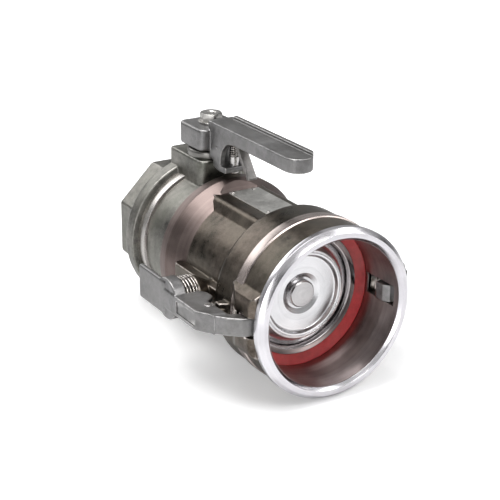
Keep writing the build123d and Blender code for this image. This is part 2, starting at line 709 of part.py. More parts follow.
# Handle: square hub, flat bar with a raised edge, and a hollow leg for the plunger
hub_front_y = stem_y - hub_size / 2
tip_y = stem_y - bar_reach
leg_front_y = stem_y - leg_front_reach
leg_back_y = stem_y - leg_back_reach
foot_top = leg_bottom + plunger_foot_height
plunger_y = stem_y - plunger_reach
trigger_pivot_y = stem_y - trigger_pivot_reach
with BuildPart() as handle:
    with BuildSketch(Plane.XY.offset(hub_bottom)) as hub_outline:
        with Locations((0, stem_y)):
            RectangleRounded(hub_width, hub_size, hub_corner)
    extrude(amount=hub_height)
    fillet(handle.faces().sort_by(Axis.Z)[-1].edges(), radius=hub_edge)
    with BuildSketch(Plane.XY.offset(bar_bottom)) as bar_outline:
        with Locations((0, (tip_y + bar_width / 2 + hub_front_y) / 2)):
            Rectangle(bar_width, hub_front_y - tip_y - bar_width / 2)
        with Locations((0, tip_y + bar_width / 2)):
            Circle(bar_width / 2)
    extrude(bar_outline.sketch, amount=bar_thickness)
    with BuildSketch(Plane.YZ.offset(-bar_width / 2)) as side_outline:
        with BuildLine():
            FilletPolyline(
                (leg_back_y, leg_bottom),
                (leg_back_y, hub_bottom + 2),
                (stem_y - stem_square, hub_bottom + 2),
                (stem_y - stem_square, hub_top - 0.2),
                (hub_front_y - 1, hub_top - 0.2),
                (hub_front_y - 1, bar_top),
                (leg_front_y - leg_arch - 1, bar_top),
                (leg_front_y - leg_arch - 1, bar_bottom),
                (leg_front_y, bar_bottom),
                (leg_front_y, foot_top),
                (stem_y - foot_reach, foot_top),
                (stem_y - foot_reach, leg_bottom),
                radius=[0, 0, 0, 0, 7, 0.5, 0, 0, leg_arch, 1, 1, 1.5], close=True)
        make_face()
    extrude(side_outline.sketch, amount=bar_width)
    upright(0, stem_y, leg_tower_room, leg_bottom - 1, tower_height + hub_clearance, mode=Mode.SUBTRACT)
    upright(0, stem_y, leg_gland_room, leg_bottom - 1, hub_bottom, mode=Mode.SUBTRACT)
    with BuildSketch(Plane.XY.offset(bar_top - 0.5)) as strip_outline:
        with Locations((0, tip_y + bar_width / 2)):
            Circle(bar_width / 2)
        with Locations((0, (tip_y + bar_width / 2 + hub_front_y - 1) / 2)):
            Rectangle(bar_width, hub_front_y - 1 - tip_y - bar_width / 2)
        with Locations((-rim_strip_width, (tip_y + hub_front_y) / 2)):
            Rectangle(bar_width, hub_front_y - tip_y + 2, mode=Mode.SUBTRACT)
    extrude(strip_outline.sketch, amount=rim_strip_height + 0.5)
    block(-channel_width / 2, channel_width / 2, stem_y - foot_reach - 1, stem_y - channel_back_reach,
          foot_top, channel_top, mode=Mode.SUBTRACT)
    block(-trigger_width / 2 - 0.4, trigger_width / 2 + 0.4, trigger_pivot_y - 8,
          trigger_pivot_y + 6.5, bar_bottom - 5, bar_top - 3.5, mode=Mode.SUBTRACT)
    block(-toe_width / 2 - 0.4, toe_width / 2 + 0.4, trigger_pivot_y, plunger_y + 5,
          channel_top - 1, bar_top - 3.5, mode=Mode.SUBTRACT)
    upright(0, plunger_y, plunger_radius + 0.1, leg_bottom - 1, foot_top + 1, mode=Mode.SUBTRACT)
    with BuildSketch(Plane.YZ.offset(-bar_width / 2 + 3)) as pin_hole:
        with Locations((trigger_pivot_y, trigger_pivot_height)):
            Circle(trigger_pin_radius + 0.02)
    extrude(pin_hole.sketch, amount=bar_width, mode=Mode.SUBTRACT)
    block(-stem_square / 2 - 0.05, stem_square / 2 + 0.05, stem_y - stem_square / 2 - 0.05,
          stem_y + stem_square / 2 + 0.05, hub_bottom - 1, hub_top + 1, mode=Mode.SUBTRACT)
    upright(0, stem_y, stem_radius + 0.2, hub_bottom - 1, hub_bottom + 0.6, mode=Mode.SUBTRACT)
handle.part.label = "handle"
export_step(handle.part, "parts/handle.step")

# Hexagon bolt and washer that hold the handle on the stem
with BuildPart() as handle_washer:
    upright(0, stem_y, washer_radius, hub_top, hub_top + washer_thickness)
    upright(0, stem_y, bolt_radius + 0.3, hub_top - 1, hub_top + 2, mode=Mode.SUBTRACT)
handle_washer.part.label = "handle_washer"
export_step(handle_washer.part, "parts/handle_washer.step")

with BuildPart() as handle_bolt:
    head_bottom = hub_top + washer_thickness
    with BuildSketch(Plane.XY.offset(head_bottom)) as bolt_head:
        with Locations((0, stem_y)):
            RegularPolygon(bolt_flats / 2, 6, major_radius=False)
    extrude(bolt_head.sketch, amount=bolt_head_height)
    upright(0, stem_y, bolt_radius, head_bottom - bolt_length, head_bottom)
    upright(0, stem_y, bolt_radius * 0.8, head_bottom + bolt_head_height - 1,
            head_bottom + bolt_head_height, mode=Mode.SUBTRACT)
handle_bolt.part.label = "handle_bolt"
export_step(handle_bolt.part, "parts/handle_bolt.step")

# Trigger: cranked pawl under the bar, with a forked toe that lifts the plunger
with BuildPart() as trigger:
    trigger_tip_y = stem_y - trigger_tip_reach
    trigger_bend_y = stem_y - trigger_bend_reach
    bend_height = trigger_pivot_height - trigger_bend_drop
    tip_height = trigger_pivot_height - trigger_tip_drop
    half_plate = trigger_thickness / 2
    with BuildSketch(Plane.YZ.offset(-trigger_width / 2)) as trigger_outline:
        with BuildLine():
            FilletPolyline(
                (trigger_pivot_y - half_plate, trigger_pivot_height),
                (trigger_bend_y - half_plate, bend_height + 0.8),
                (trigger_tip_y - half_plate, tip_height + 1.5),
                (trigger_tip_y + half_plate, tip_height),
                (trigger_bend_y + half_plate, bend_height - 0.8),
                (trigger_pivot_y + half_plate, trigger_pivot_height),
                radius=[0, 4, 1, 1, 4, 0], close=True)
        make_face()
        with Locations((trigger_pivot_y, trigger_pivot_height)):
            Circle(trigger_eye_radius)
    extrude(trigger_outline.sketch, amount=trigger_width)
    block(-toe_width / 2, toe_width / 2, trigger_pivot_y, plunger_y + 0.5, toe_bottom, toe_top)
    block(-plunger_stem_radius - 0.4, plunger_stem_radius + 0.4, plunger_y - plunger_stem_radius - 1.4,
          plunger_y + 2, toe_bottom - 1, toe_top + 1, mode=Mode.SUBTRACT)
    with BuildSketch(Plane.YZ.offset(-trigger_width / 2 - 1)) as trigger_bore:
        with Locations((trigger_pivot_y, trigger_pivot_height)):
            Circle(trigger_pin_radius + running_gap)
    extrude(trigger_bore.sketch, amount=trigger_width + 2, mode=Mode.SUBTRACT)
trigger.part.label = "trigger"
export_step(trigger.part, "parts/trigger.step")

with BuildPart() as trigger_pin:
    with BuildSketch(Plane.YZ.offset(-bar_width / 2 + 3)) as pin_section:
        with Locations((trigger_pivot_y, trigger_pivot_height)):
            Circle(trigger_pin_radius)
    extrude(pin_section.sketch, amount=bar_width - 3.3)
trigger_pin.part.label = "trigger_pin"
export_step(trigger_pin.part, "parts/trigger_pin.step")

# Locking plunger in the handle's leg, with its spring and spring washer
head_low = toe_top + free_gap
with BuildPart() as plunger:
    upright(0, plunger_y, plunger_radius, lock_pad_radius + free_gap, plunger_shoulder)
    fillet(plunger.edges().filter_by(GeomType.CIRCLE).sort_by(Axis.Z)[0], radius=2)
    upright(0, plunger_y, plunger_stem_radius, plunger_shoulder, head_low)
    upright(0, plunger_y, plunger_head_radius, head_low, head_low + 2.5)
plunger.part.label = "plunger"
export_step(plunger.part, "parts/plunger.step")

washer_low = channel_top - 1.3
with BuildPart() as plunger_washer:
    upright(0, plunger_y, spring_washer_radius, washer_low, channel_top - 0.05)
    upright(0, plunger_y, plunger_stem_radius + 0.2, washer_low - 1, channel_top + 1,
            mode=Mode.SUBTRACT)
plunger_washer.part.label = "plunger_washer"
export_step(plunger_washer.part, "parts/plunger_washer.step")

with BuildPart() as plunger_spring:
    spring_height = washer_low - plunger_shoulder - 2 * pawl_wire_radius - 0.2
    coil_radius = pawl_spring_radius - pawl_wire_radius
    with BuildLine() as coil_path:
        Helix(spring_height / pawl_spring_turns, spring_height, coil_radius,
              center=(0, plunger_y, plunger_shoulder + pawl_wire_radius + 0.1))
    with BuildSketch(Plane(coil_path.line @ 0, z_dir=coil_path.line % 0)) as wire_section:
        Circle(pawl_wire_radius)
    sweep(wire_section.sketch, path=coil_path.line, is_frenet=True)
plunger_spring.part.label = "plunger_spring"
export_step(plunger_spring.part, "parts/plunger_spring.step")

# Latch arms, pins and springs, the same on both sides
pivot_y = mouth_y + pivot_depth
hook_span = arm_out - socket_radius
with BuildPart() as arm_left:
    with BuildSketch(Plane.XY.offset(-arm_half_height)) as wall_outline:
        with BuildLine():
            FilletPolyline(
                (-arm_out, pivot_y - 6),
                (-arm_out, mouth_y + paddle_end - 1),
                (-arm_inner, mouth_y + paddle_end - 1),
                (-arm_inner, pivot_y - 4),
                (-arm_inner + 2, pivot_y - 22),
                (-arm_out + 6, pivot_y - 18),
                radius=[6, 0, 0, 0, 0, 8], close=True)
        make_face()
    extrude(wall_outline.sketch, amount=2 * arm_half_height)
    with BuildSketch(Plane.XY.offset(-claw_half_height)) as claw_outline:
        with BuildLine():
            FilletPolyline(
                (-arm_inner - 1, pivot_y - 4),
                (-socket_radius - 0.86 * hook_span, pivot_y - 18),
                (-socket_radius - 0.62 * hook_span, pivot_y - 28),
                (-socket_radius - 0.37 * hook_span, pivot_y - 35.5),
                (-socket_radius - 6, pivot_y - 38.5),
                (-socket_radius + 0.4, pivot_y - 38.5),
                (-hook_reach, pivot_y - 33),
                (-hook_reach, pivot_y - 24),
                (-socket_radius - 6, pivot_y - 24.5),
                (-lug_out - 1, pivot_y - 24.5),
                (-pivot_out + 1, pivot_y - 17.5),
                radius=[0, 6, 6, 6, 4, 0.8, 1, 1, 3, 3, 4], close=True)
        make_face()
    extrude(claw_outline.sketch, amount=2 * claw_half_height)
    for level in (-1, 1):
        with BuildSketch(Plane.XY.offset(level * arm_half_height)) as cheek_outline:
            with BuildLine():
                FilletPolyline(
                    (-arm_inner - 1, pivot_y + 35),
                    (-lug_out - 4, pivot_y + 28),
                    (-lug_out - 0.4, pivot_y + 22),
                    (-lug_out - 0.4, pivot_y + 13),
                    (-pivot_out + 4, pivot_y + 6.5),
                    (-pivot_out + 5, pivot_y - 22),
                    (-arm_inner - 1, pivot_y - 16),
                    radius=[0, 3, 3, 3, 1.5, 1, 0], close=True)
            make_face()
        extrude(cheek_outline.sketch, amount=-level * cheek_thickness)
    with BuildSketch(Plane.YZ.offset(-arm_out)) as paddle_outline:
        with Locations((mouth_y + (paddle_start + paddle_end) / 2, 0)):
            RectangleRounded(paddle_end - paddle_start, 2 * paddle_half_height, paddle_round)
    extrude(paddle_outline.sketch, amount=arm_wall)
    with BuildSketch(Plane.YZ.offset(-spring_boss_out)) as coil_room:
        with Locations((mouth_y + spring_depth, 0)):
            Circle(latch_spring_radius + free_gap + spring_cup_wall)
    extrude(coil_room.sketch, amount=spring_boss_out - barrel_radius, mode=Mode.SUBTRACT)
    with BuildSketch(Plane.YZ.offset(-arm_out + 1)) as cup_outline:
        with Locations((mouth_y + spring_depth, 0)):
            Circle(latch_spring_radius + free_gap + spring_cup_wall)
    extrude(cup_outline.sketch, amount=arm_out - 1 - spring_boss_out)
    with BuildSketch(Plane.YZ.offset(-arm_inner + spring_cup_floor)) as cup_bore:
        with Locations((mouth_y + spring_depth, 0)):
            Circle(latch_spring_radius + free_gap)
    extrude(cup_bore.sketch, amount=arm_inner - spring_cup_floor - spring_boss_out + 1, mode=Mode.SUBTRACT)
    upright(-pivot_out, pivot_y, latch_pin_radius + running_gap, -arm_half_height - 1,
            arm_half_height + 1, mode=Mode.SUBTRACT)
with BuildPart() as arm_right:
    mirror(arm_left.part, about=Plane.YZ)
for name, arm in (("latch_arm_left", arm_left), ("latch_arm_right", arm_right)):
    arm.part.label = name
    export_step(arm.part, f"parts/{name}.step")

for name, side in (("left", -1), ("right", 1)):
    with BuildPart() as latch_pin:
        upright(side * pivot_out, pivot_y, latch_pin_radius, -arm_half_height - 0.3, arm_half_height + 0.3)
    latch_pin.part.label = f"latch_pin_{name}"
    export_step(latch_pin.part, f"parts/latch_pin_{name}.step")

    with BuildPart() as latch_spring:
        coil_length = arm_inner - spring_cup_floor - spring_seat_out - 2 * latch_wire_radius - 0.2
        with BuildLine() as spring_path:
            Helix(coil_length / latch_spring_turns, coil_length, latch_spring_radius - latch_wire_radius,
                  center=(side * (spring_seat_out + latch_wire_radius + 0.1), mouth_y + spring_depth, 0),
                  direction=(side, 0, 0))
        with BuildSketch(Plane(spring_path.line @ 0, z_dir=spring_path.line % 0)) as spring_section:
            Circle(latch_wire_radius)
        sweep(spring_section.sketch, path=spring_path.line, is_frenet=True)
    latch_spring.part.label = f"latch_spring_{name}"
    export_step(latch_spring.part, f"parts/latch_spring_{name}.step")
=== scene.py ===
import math
import bpy
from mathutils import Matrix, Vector


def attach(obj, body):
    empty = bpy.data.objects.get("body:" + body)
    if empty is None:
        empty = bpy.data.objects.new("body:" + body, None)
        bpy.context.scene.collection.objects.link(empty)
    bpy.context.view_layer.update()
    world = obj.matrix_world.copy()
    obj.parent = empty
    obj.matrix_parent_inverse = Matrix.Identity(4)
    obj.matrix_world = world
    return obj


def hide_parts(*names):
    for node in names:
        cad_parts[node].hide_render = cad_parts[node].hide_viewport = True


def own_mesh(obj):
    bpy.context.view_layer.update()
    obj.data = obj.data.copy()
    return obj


# Dry break coupling, 3 inch size, standing on a pale studio floor.
# Lengths are written in millimetres. A station is a distance behind the mouth,
# measured along the flow axis, and -X is the side nearest the camera.

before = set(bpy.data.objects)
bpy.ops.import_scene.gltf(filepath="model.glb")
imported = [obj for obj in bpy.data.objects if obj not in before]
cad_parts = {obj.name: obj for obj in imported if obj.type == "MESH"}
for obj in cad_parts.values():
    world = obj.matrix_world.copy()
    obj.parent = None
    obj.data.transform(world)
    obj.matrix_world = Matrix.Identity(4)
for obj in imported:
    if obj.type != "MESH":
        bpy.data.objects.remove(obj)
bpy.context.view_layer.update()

# Camera, floor and light
# A long lens looks down at the mouth from its left. The floor is white card that glows for the camera,
# less near the coupling, which paints shade round it; one large soft box hangs above with weaker ones
# around, and the bright metal has black cards to mirror.
scene = bpy.context.scene
scene.view_settings.view_transform = "Standard"
bpy.ops.object.select_all(action="DESELECT")
bpy.ops.object.camera_add(location=(-0.5486, -1.0264, 0.4210),
                          rotation=(math.radians(68.615), math.radians(-0.507), math.radians(-31.334)))
camera = bpy.context.object
camera.data.lens = 97.2
camera.data.sensor_width = 36.0
camera.data.clip_end = 20.0
scene.camera = camera


def new_material(name):
    """A new material with its node tree and its surface shader."""
    material = bpy.data.materials.new(name)
    material.use_nodes = True
    tree = material.node_tree
    return material, tree, tree.nodes["Principled BSDF"]


def node(tree, kind, settings=None, **sockets):
    """A shader node with its settings, and its sockets given values or links; _0 is the first socket."""
    made = tree.nodes.new("ShaderNode" + kind)
    for key, value in (settings or {}).items():
        setattr(made, key, value)
    for key, value in sockets.items():
        socket = made.inputs[int(key[1:])] if key[0] == "_" else made.inputs[key.replace("_", " ")]
        if isinstance(value, bpy.types.NodeSocket):
            tree.links.new(value, socket)
        else:
            socket.default_value = value
    return made


def math_node(tree, operation, first, second=0.0):
    """The output of one sum of two values or links."""
    return node(tree, "Math", {"operation": operation}, _0=first, _1=second).outputs[0]


def blend_colours(tree, factor, first, second):
    """The output of a mix of two colours or links."""
    return node(tree, "Mix", {"data_type": "RGBA"}, _0=factor, _6=first, _7=second).outputs[2]


def stretch(tree, value, low, high, bottom=0.0, top=1.0):
    """A value between low and high, moved to lie between bottom and top."""
    return node(tree, "MapRange", {}, Value=value, From_Min=low, From_Max=high, To_Min=bottom,
                To_Max=top).outputs["Result"]


AIM = Vector((0, -0.13, 0))


def soft_box(name, size, place, strength):
    """A rectangular lamp at a place, turned to face the coupling."""
    bpy.ops.object.light_add(type="AREA", location=place)
    lamp = bpy.context.object
    lamp.name = name
    lamp.data.shape = "RECTANGLE"
    lamp.data.size, lamp.data.size_y = size
    lamp.data.energy = strength
    lamp.rotation_euler = (AIM - Vector(place)).to_track_quat("-Z", "Y").to_euler()


soft_box("top_box", (0.9, 0.9), (-0.3, -0.15, 1.2), 15.0)
soft_box("right_box", (0.4, 0.9), (1.0, -0.75, 0.75), 4.0)
soft_box("back_box", (1.2, 0.5), (-0.3, 1.2, 0.8), 5.0)
soft_box("left_box", (0.35, 1.0), (-1.25, -0.95, 0.3), 5.0)
soft_box("front_box", (0.7, 0.4), (0.15, -1.15, 0.95), 6.0)

black_cloth, tree, shader = new_material("black flag")
shader.inputs["Base Color"].default_value = (0.02, 0.02, 0.02, 1)
shader.inputs["Roughness"].default_value = 0.9
shader.inputs["Specular IOR Level"].default_value = 0.1


def dark_flag(name, size, place):
    """A black card that only the bright metal mirrors, turned to face the coupling."""
    bpy.ops.mesh.primitive_plane_add(size=1, location=place)
    flag = bpy.context.object
    flag.name = name
    flag.scale = (size[0], size[1], 1)
    flag.rotation_euler = (AIM - Vector(place)).to_track_quat("Z", "Y").to_euler()
    flag.data.materials.append(black_cloth)
    flag.visible_camera = flag.visible_diffuse = flag.visible_shadow = False


dark_flag("camera_flag", (1.3, 1.0), (-0.85, -1.6, 0.5))
dark_flag("left_flag", (0.9, 1.0), (-1.35, -0.1, 0.35))
dark_flag("right_flag", (0.8, 0.7), (1.45, -0.5, 0.1))

world = bpy.data.worlds.new("studio_air")
scene.world = world
world.use_nodes = True
air = world.node_tree
rays = node(air, "LightPath").outputs
ways = node(air, "TexCoord").outputs["Generated"]
upward = node(air, "SeparateXYZ", _0=ways).outputs["Z"]
sky = stretch(air, upward, -0.1, 0.9, 0.22, 0.62)
mirrored = blend_colours(air, rays["Is Glossy Ray"], (0.27, 0.27, 0.28, 1), sky)
seen = math_node(air, "MAXIMUM", rays["Is Camera Ray"], rays["Is Transmission Ray"])
shade = blend_colours(air, seen, mirrored, (1, 1, 1, 1))
air.links.new(shade, air.nodes["Background"].inputs["Color"])

bpy.ops.mesh.primitive_plane_add(size=6, location=(0, 0, -0.07), rotation=(math.radians(0.75), 0, 0))
floor = bpy.context.object
floor.name = "studio_floor"
material, tree, shader = new_material("white card with painted shade")
shader.inputs["Base Color"].default_value = (0.9, 0.9, 0.9, 1)
shader.inputs["Roughness"].default_value = 0.6
shader.inputs["Emission Color"].default_value = (1, 1, 1, 1)
# painted shade: the floor glows for camera rays only, weakest near the coupling and full white further out,
# so it is darker round the coupling under any lamp
place = node(tree, "TexCoord").outputs["Object"]
away = node(tree, "VectorMath", {"operation": "LENGTH"}, _0=place).outputs["Value"]
seen = node(tree, "LightPath").outputs["Is Camera Ray"]
camera_glow_with_painted_shade = math_node(tree, "MULTIPLY", seen, stretch(tree, away, 0.25, 0.75, 0.34, 1.0))
tree.links.new(camera_glow_with_painted_shade, shader.inputs["Emission Strength"])
floor.data.materials.append(material)

# Nose housing
# The front casting, in stainless steel: mouth rim, socket, collar, barrel and
# joint flange. The rim, the band, the socket and the flange's cone are turned;
# the rest is left as it came out of the mould, tumbled to a brown-grey satin.
MM = 0.001
MOUTH = -261.0
RIM_R, COLLAR_R, BARREL_R, FLANGE_R = 70.0, 68.0, 56.0, 66.0
SOCKET_R, SEAL_GROOVE_R, CHAMBER_R, SPIGOT_R = 59.9, 60.9, 46.0, 51.0
NOSE_LENGTH = 165.0
LATCH_WINDOW = (8.6, 44.0, 8.4)
SPRING_STATION = 95.0
PIVOT_OUT, PIVOT_STATION = 84.0, 52.0


def at(x, station, z):
    """A place from its side, its station behind the mouth and its height."""
    return (x, MOUTH + station, z)


def rounded(corners, closed=True):
    """The corners of an outline, with an arc for each corner that gives a third value, its radius."""
    points = []
    count = len(corners)
    for i, corner in enumerate(corners):
        here = Vector(corner[:2])
        radius = corner[2] if len(corner) > 2 else 0
        if radius == 0 or (not closed and i in (0, count - 1)):
            points.append(tuple(here))
            continue
        to_last = (Vector(corners[i - 1][:2]) - here).normalized()
        to_next = (Vector(corners[(i + 1) % count][:2]) - here).normalized()
        half = to_last.angle(to_next) / 2
        centre = here + (to_last + to_next).normalized() * radius / math.sin(half)
        start = here + to_last * radius / math.tan(half) - centre
        end = here + to_next * radius / math.tan(half) - centre
        sweep = math.pi - 2 * half
        steps = max(2, math.ceil(sweep / math.radians(14)))
        turn = 1 if start.x * end.y - start.y * end.x > 0 else -1
        for k in range(steps + 1):
            a = turn * sweep * k / steps
            points.append((centre.x + start.x * math.cos(a) - start.y * math.sin(a),
                           centre.y + start.x * math.sin(a) + start.y * math.cos(a)))
    return points


def draw_outline(name, points):
    """One point, extruded from place to place; the piece is left in edit mode, all selected."""
    bpy.ops.object.select_all(action="DESELECT")
    bpy.ops.mesh.primitive_plane_add(size=MM)
    piece = bpy.context.object
    piece.name = name
    piece.data.name = name
    bpy.ops.object.mode_set(mode="EDIT")
    bpy.ops.mesh.merge(type="CENTER")
    last = Vector((0, 0, 0))
    for i, point in enumerate(points):
        step = Vector(point) * MM - last
        if i == 0:
            bpy.ops.transform.translate(value=step)
        else:
            bpy.ops.mesh.extrude_vertices_move(TRANSFORM_OT_translate={"value": step})
        last = Vector(point) * MM
    bpy.ops.mesh.select_all(action="SELECT")
    return piece


def close_mesh(piece):
    """Merge what meets, turn the faces outwards and leave edit mode."""
    bpy.ops.mesh.select_all(action="SELECT")
    bpy.ops.mesh.remove_doubles(threshold=1e-6)
    bpy.ops.mesh.normals_make_consistent(inside=False)
    bpy.ops.object.mode_set(mode="OBJECT")
    return piece


def turned(name, corners, steps=160, closed=True, upright=None, sideways=None):
    """A piece turned from (radius, station) corners on the flow axis, or on an upright or a sideways one."""
    if upright:
        centre, axis = Vector(at(upright[0], upright[1], 0)), (0, 0, 1)
        points = [(centre.x + r, centre.y, h) for r, h in rounded(corners, closed)]
    elif sideways:
        centre, axis = Vector(at(0, sideways, 0)), (1, 0, 0)
        points = [(x, centre.y + r, 0) for r, x in rounded(corners, closed)]
    else:
        centre, axis = Vector((0, 0, 0)), (0, 1, 0)
        points = [(r, MOUTH + s, 0) for r, s in rounded(corners, closed)]
    if closed:
        points.append(points[0])
    piece = draw_outline(name, points)
    bpy.ops.mesh.spin(steps=steps, angle=2 * math.pi, center=centre * MM, axis=axis)
    close_mesh(piece)
    bpy.ops.object.shade_smooth_by_angle(angle=math.radians(32))
    return piece


def soften_edges(piece, width, angle, segments=3):
    """Round the edges of a piece that are sharper than an angle in degrees."""
    rims = piece.modifiers.new("rims", "BEVEL")
    rims.width = width * MM
    rims.segments = segments
    rims.angle_limit = math.radians(angle)
    bpy.ops.object.modifier_apply(modifier=rims.name)


def plate(name, corners, low, high, across="Z", edge=0.0):
    """A flat plate between two levels of one axis, from an outline in the other two, with rounded rims."""
    if across == "Z":
        points = [(x, MOUTH + s, low) for x, s in rounded(corners)]
        lift = Vector((0, 0, high - low))
    elif across == "X":
        points = [(low, MOUTH + s, z) for s, z in rounded(corners)]
        lift = Vector((high - low, 0, 0))
    else:
        points = [(x, MOUTH + low, z) for x, z in rounded(corners)]
        lift = Vector((0, high - low, 0))
    piece = draw_outline(name, points + [points[0]])
    bpy.ops.mesh.remove_doubles(threshold=1e-6)
    bpy.ops.mesh.edge_face_add()
    bpy.ops.mesh.extrude_region_move(TRANSFORM_OT_translate={"value": lift * MM})
    close_mesh(piece)
    if edge:
        soften_edges(piece, edge, 60)
    return piece


def slab(name, xs, stations, zs, edge=0.0):
    """A block between its faces, with its edges rounded."""
    bpy.ops.object.select_all(action="DESELECT")
    bpy.ops.mesh.primitive_cube_add(size=1)
    piece = bpy.context.object
    piece.name = name
    bpy.ops.object.mode_set(mode="EDIT")
    size = (abs(xs[1] - xs[0]), abs(stations[1] - stations[0]), abs(zs[1] - zs[0]))
    bpy.ops.transform.resize(value=[v * MM for v in size])
    middle = (sum(xs) / 2, MOUTH + sum(stations) / 2, sum(zs) / 2)
    bpy.ops.transform.translate(value=[v * MM for v in middle])
    if edge:
        bpy.ops.mesh.bevel(offset=edge * MM, segments=3, affect="EDGES")
    bpy.ops.object.mode_set(mode="OBJECT")
    return piece


def rod(name, radius, start, end, sides=48, edge=0.0):
    """A round bar between the middles of its two ends, with its rims rounded."""
    start, end = Vector(start) * MM, Vector(end) * MM
    bpy.ops.object.select_all(action="DESELECT")
    bpy.ops.mesh.primitive_cylinder_add(vertices=sides, radius=radius * MM, depth=(end - start).length,
                                        location=(start + end) / 2,
                                        rotation=(end - start).to_track_quat("Z", "Y").to_euler())
    piece = bpy.context.object
    piece.name = name
    bpy.ops.object.transform_apply(location=True, rotation=True, scale=True)
    if edge:
        soften_edges(piece, edge, 50)
    bpy.ops.object.shade_smooth_by_angle(angle=math.radians(35))
    return piece


def joined(name, parts):
    """Several pieces as one mesh."""
    bpy.ops.object.select_all(action="DESELECT")
    for part in parts:
        part.select_set(True)
    bpy.context.view_layer.objects.active = parts[0]
    if len(parts) > 1:
        bpy.ops.object.join()
    piece = bpy.context.object
    piece.name = name
    piece.data.name = name
    return piece


def carved(piece, cutters):
    """The piece with the cutters' shapes taken out."""
    for cutter in cutters:
        bpy.ops.object.select_all(action="DESELECT")
        piece.select_set(True)
        bpy.context.view_layer.objects.active = piece
        cut = piece.modifiers.new("cut", "BOOLEAN")
        cut.operation = "DIFFERENCE"
        cut.solver = "EXACT"
        cut.object = cutter
        bpy.ops.object.modifier_apply(modifier=cut.name)
    bpy.ops.object.select_all(action="DESELECT")
    for cutter in cutters:
        cutter.select_set(True)
    bpy.ops.object.delete()
    bpy.ops.object.select_all(action="DESELECT")
    piece.select_set(True)
    bpy.context.view_layer.objects.active = piece
    return piece


def cast(name, parts, grain, blend=4, keep=1.0):
    """Parts grown together as one casting, with small fillets where they meet."""
    piece = joined(name, parts)
    piece.data.remesh_voxel_size = grain * MM
    piece.data.remesh_voxel_adaptivity = 0
    bpy.ops.object.voxel_remesh()
    soften = piece.modifiers.new("fillets", "SMOOTH")
    soften.factor = 0.5
    soften.iterations = blend
    bpy.ops.object.modifier_apply(modifier=soften.name)
    if keep < 1:
        thin = piece.modifiers.new("fewer faces", "DECIMATE")
        thin.ratio = keep
        bpy.ops.object.modifier_apply(modifier=thin.name)
    bpy.ops.object.shade_smooth()
    return piece


mouth_rim = turned("mouth_rim", [
    (66.2, 0, 0.3), (RIM_R, 3.8, 0.4), (RIM_R, 8.6, 0.5), (COLLAR_R - 0.6, 10.6), (63, 10.6), (63, 3.8),
    (SOCKET_R + 0.02, 3.2, 0.3), (62.4, 0, 0.3)], steps=192)
collar_band = turned("collar_band", [
    (COLLAR_R - 0.6, 34.4), (69, 35.4, 0.3), (69, 44.6, 0.3), (COLLAR_R - 0.6, 45.6)], steps=192)
socket_bore = turned("socket_bore", [
    (SOCKET_R, 3.2), (63.5, 3.8), (63.5, 58), (55, 66), (52, 140), (SPIGOT_R + 2, 144),
    (SPIGOT_R + 2, NOSE_LENGTH - 1), (SPIGOT_R, NOSE_LENGTH - 1), (SPIGOT_R, 146.5), (CHAMBER_R, 146.5),
    (CHAMBER_R, 69), (49.3, 69), (49.3, 56), (SEAL_GROOVE_R, 56), (SEAL_GROOVE_R, 46), (SOCKET_R, 46, 0.2)],
    steps=192)
joint_flange = turned("joint_flange", [
    (BARREL_R - 1, 136), (BARREL_R + 0.05, 137.5, 14), (FLANGE_R, 156, 2.5), (FLANGE_R, NOSE_LENGTH, 0.6),
    (SPIGOT_R, NOSE_LENGTH), (SPIGOT_R, 148), (53, 148), (53, 136)], steps=192)
lock_pad = carved(turned("lock_pad", [
    (62, 151), (FLANGE_R, 154.6), (69.5, 157.6, 1.5), (69.5, 164.8, 0.6), (62, 164.8)], steps=192), [
    slab("left_of_pad", (-75, -22.8), (145, 170), (-75, 75)),
    slab("right_of_pad", (22.8, 75), (145, 170), (-75, 75)),
    slab("under_pad", (-30, 30), (145, 170), (-75, 20))])
joint_flange = joined("joint_flange", [joint_flange, lock_pad])

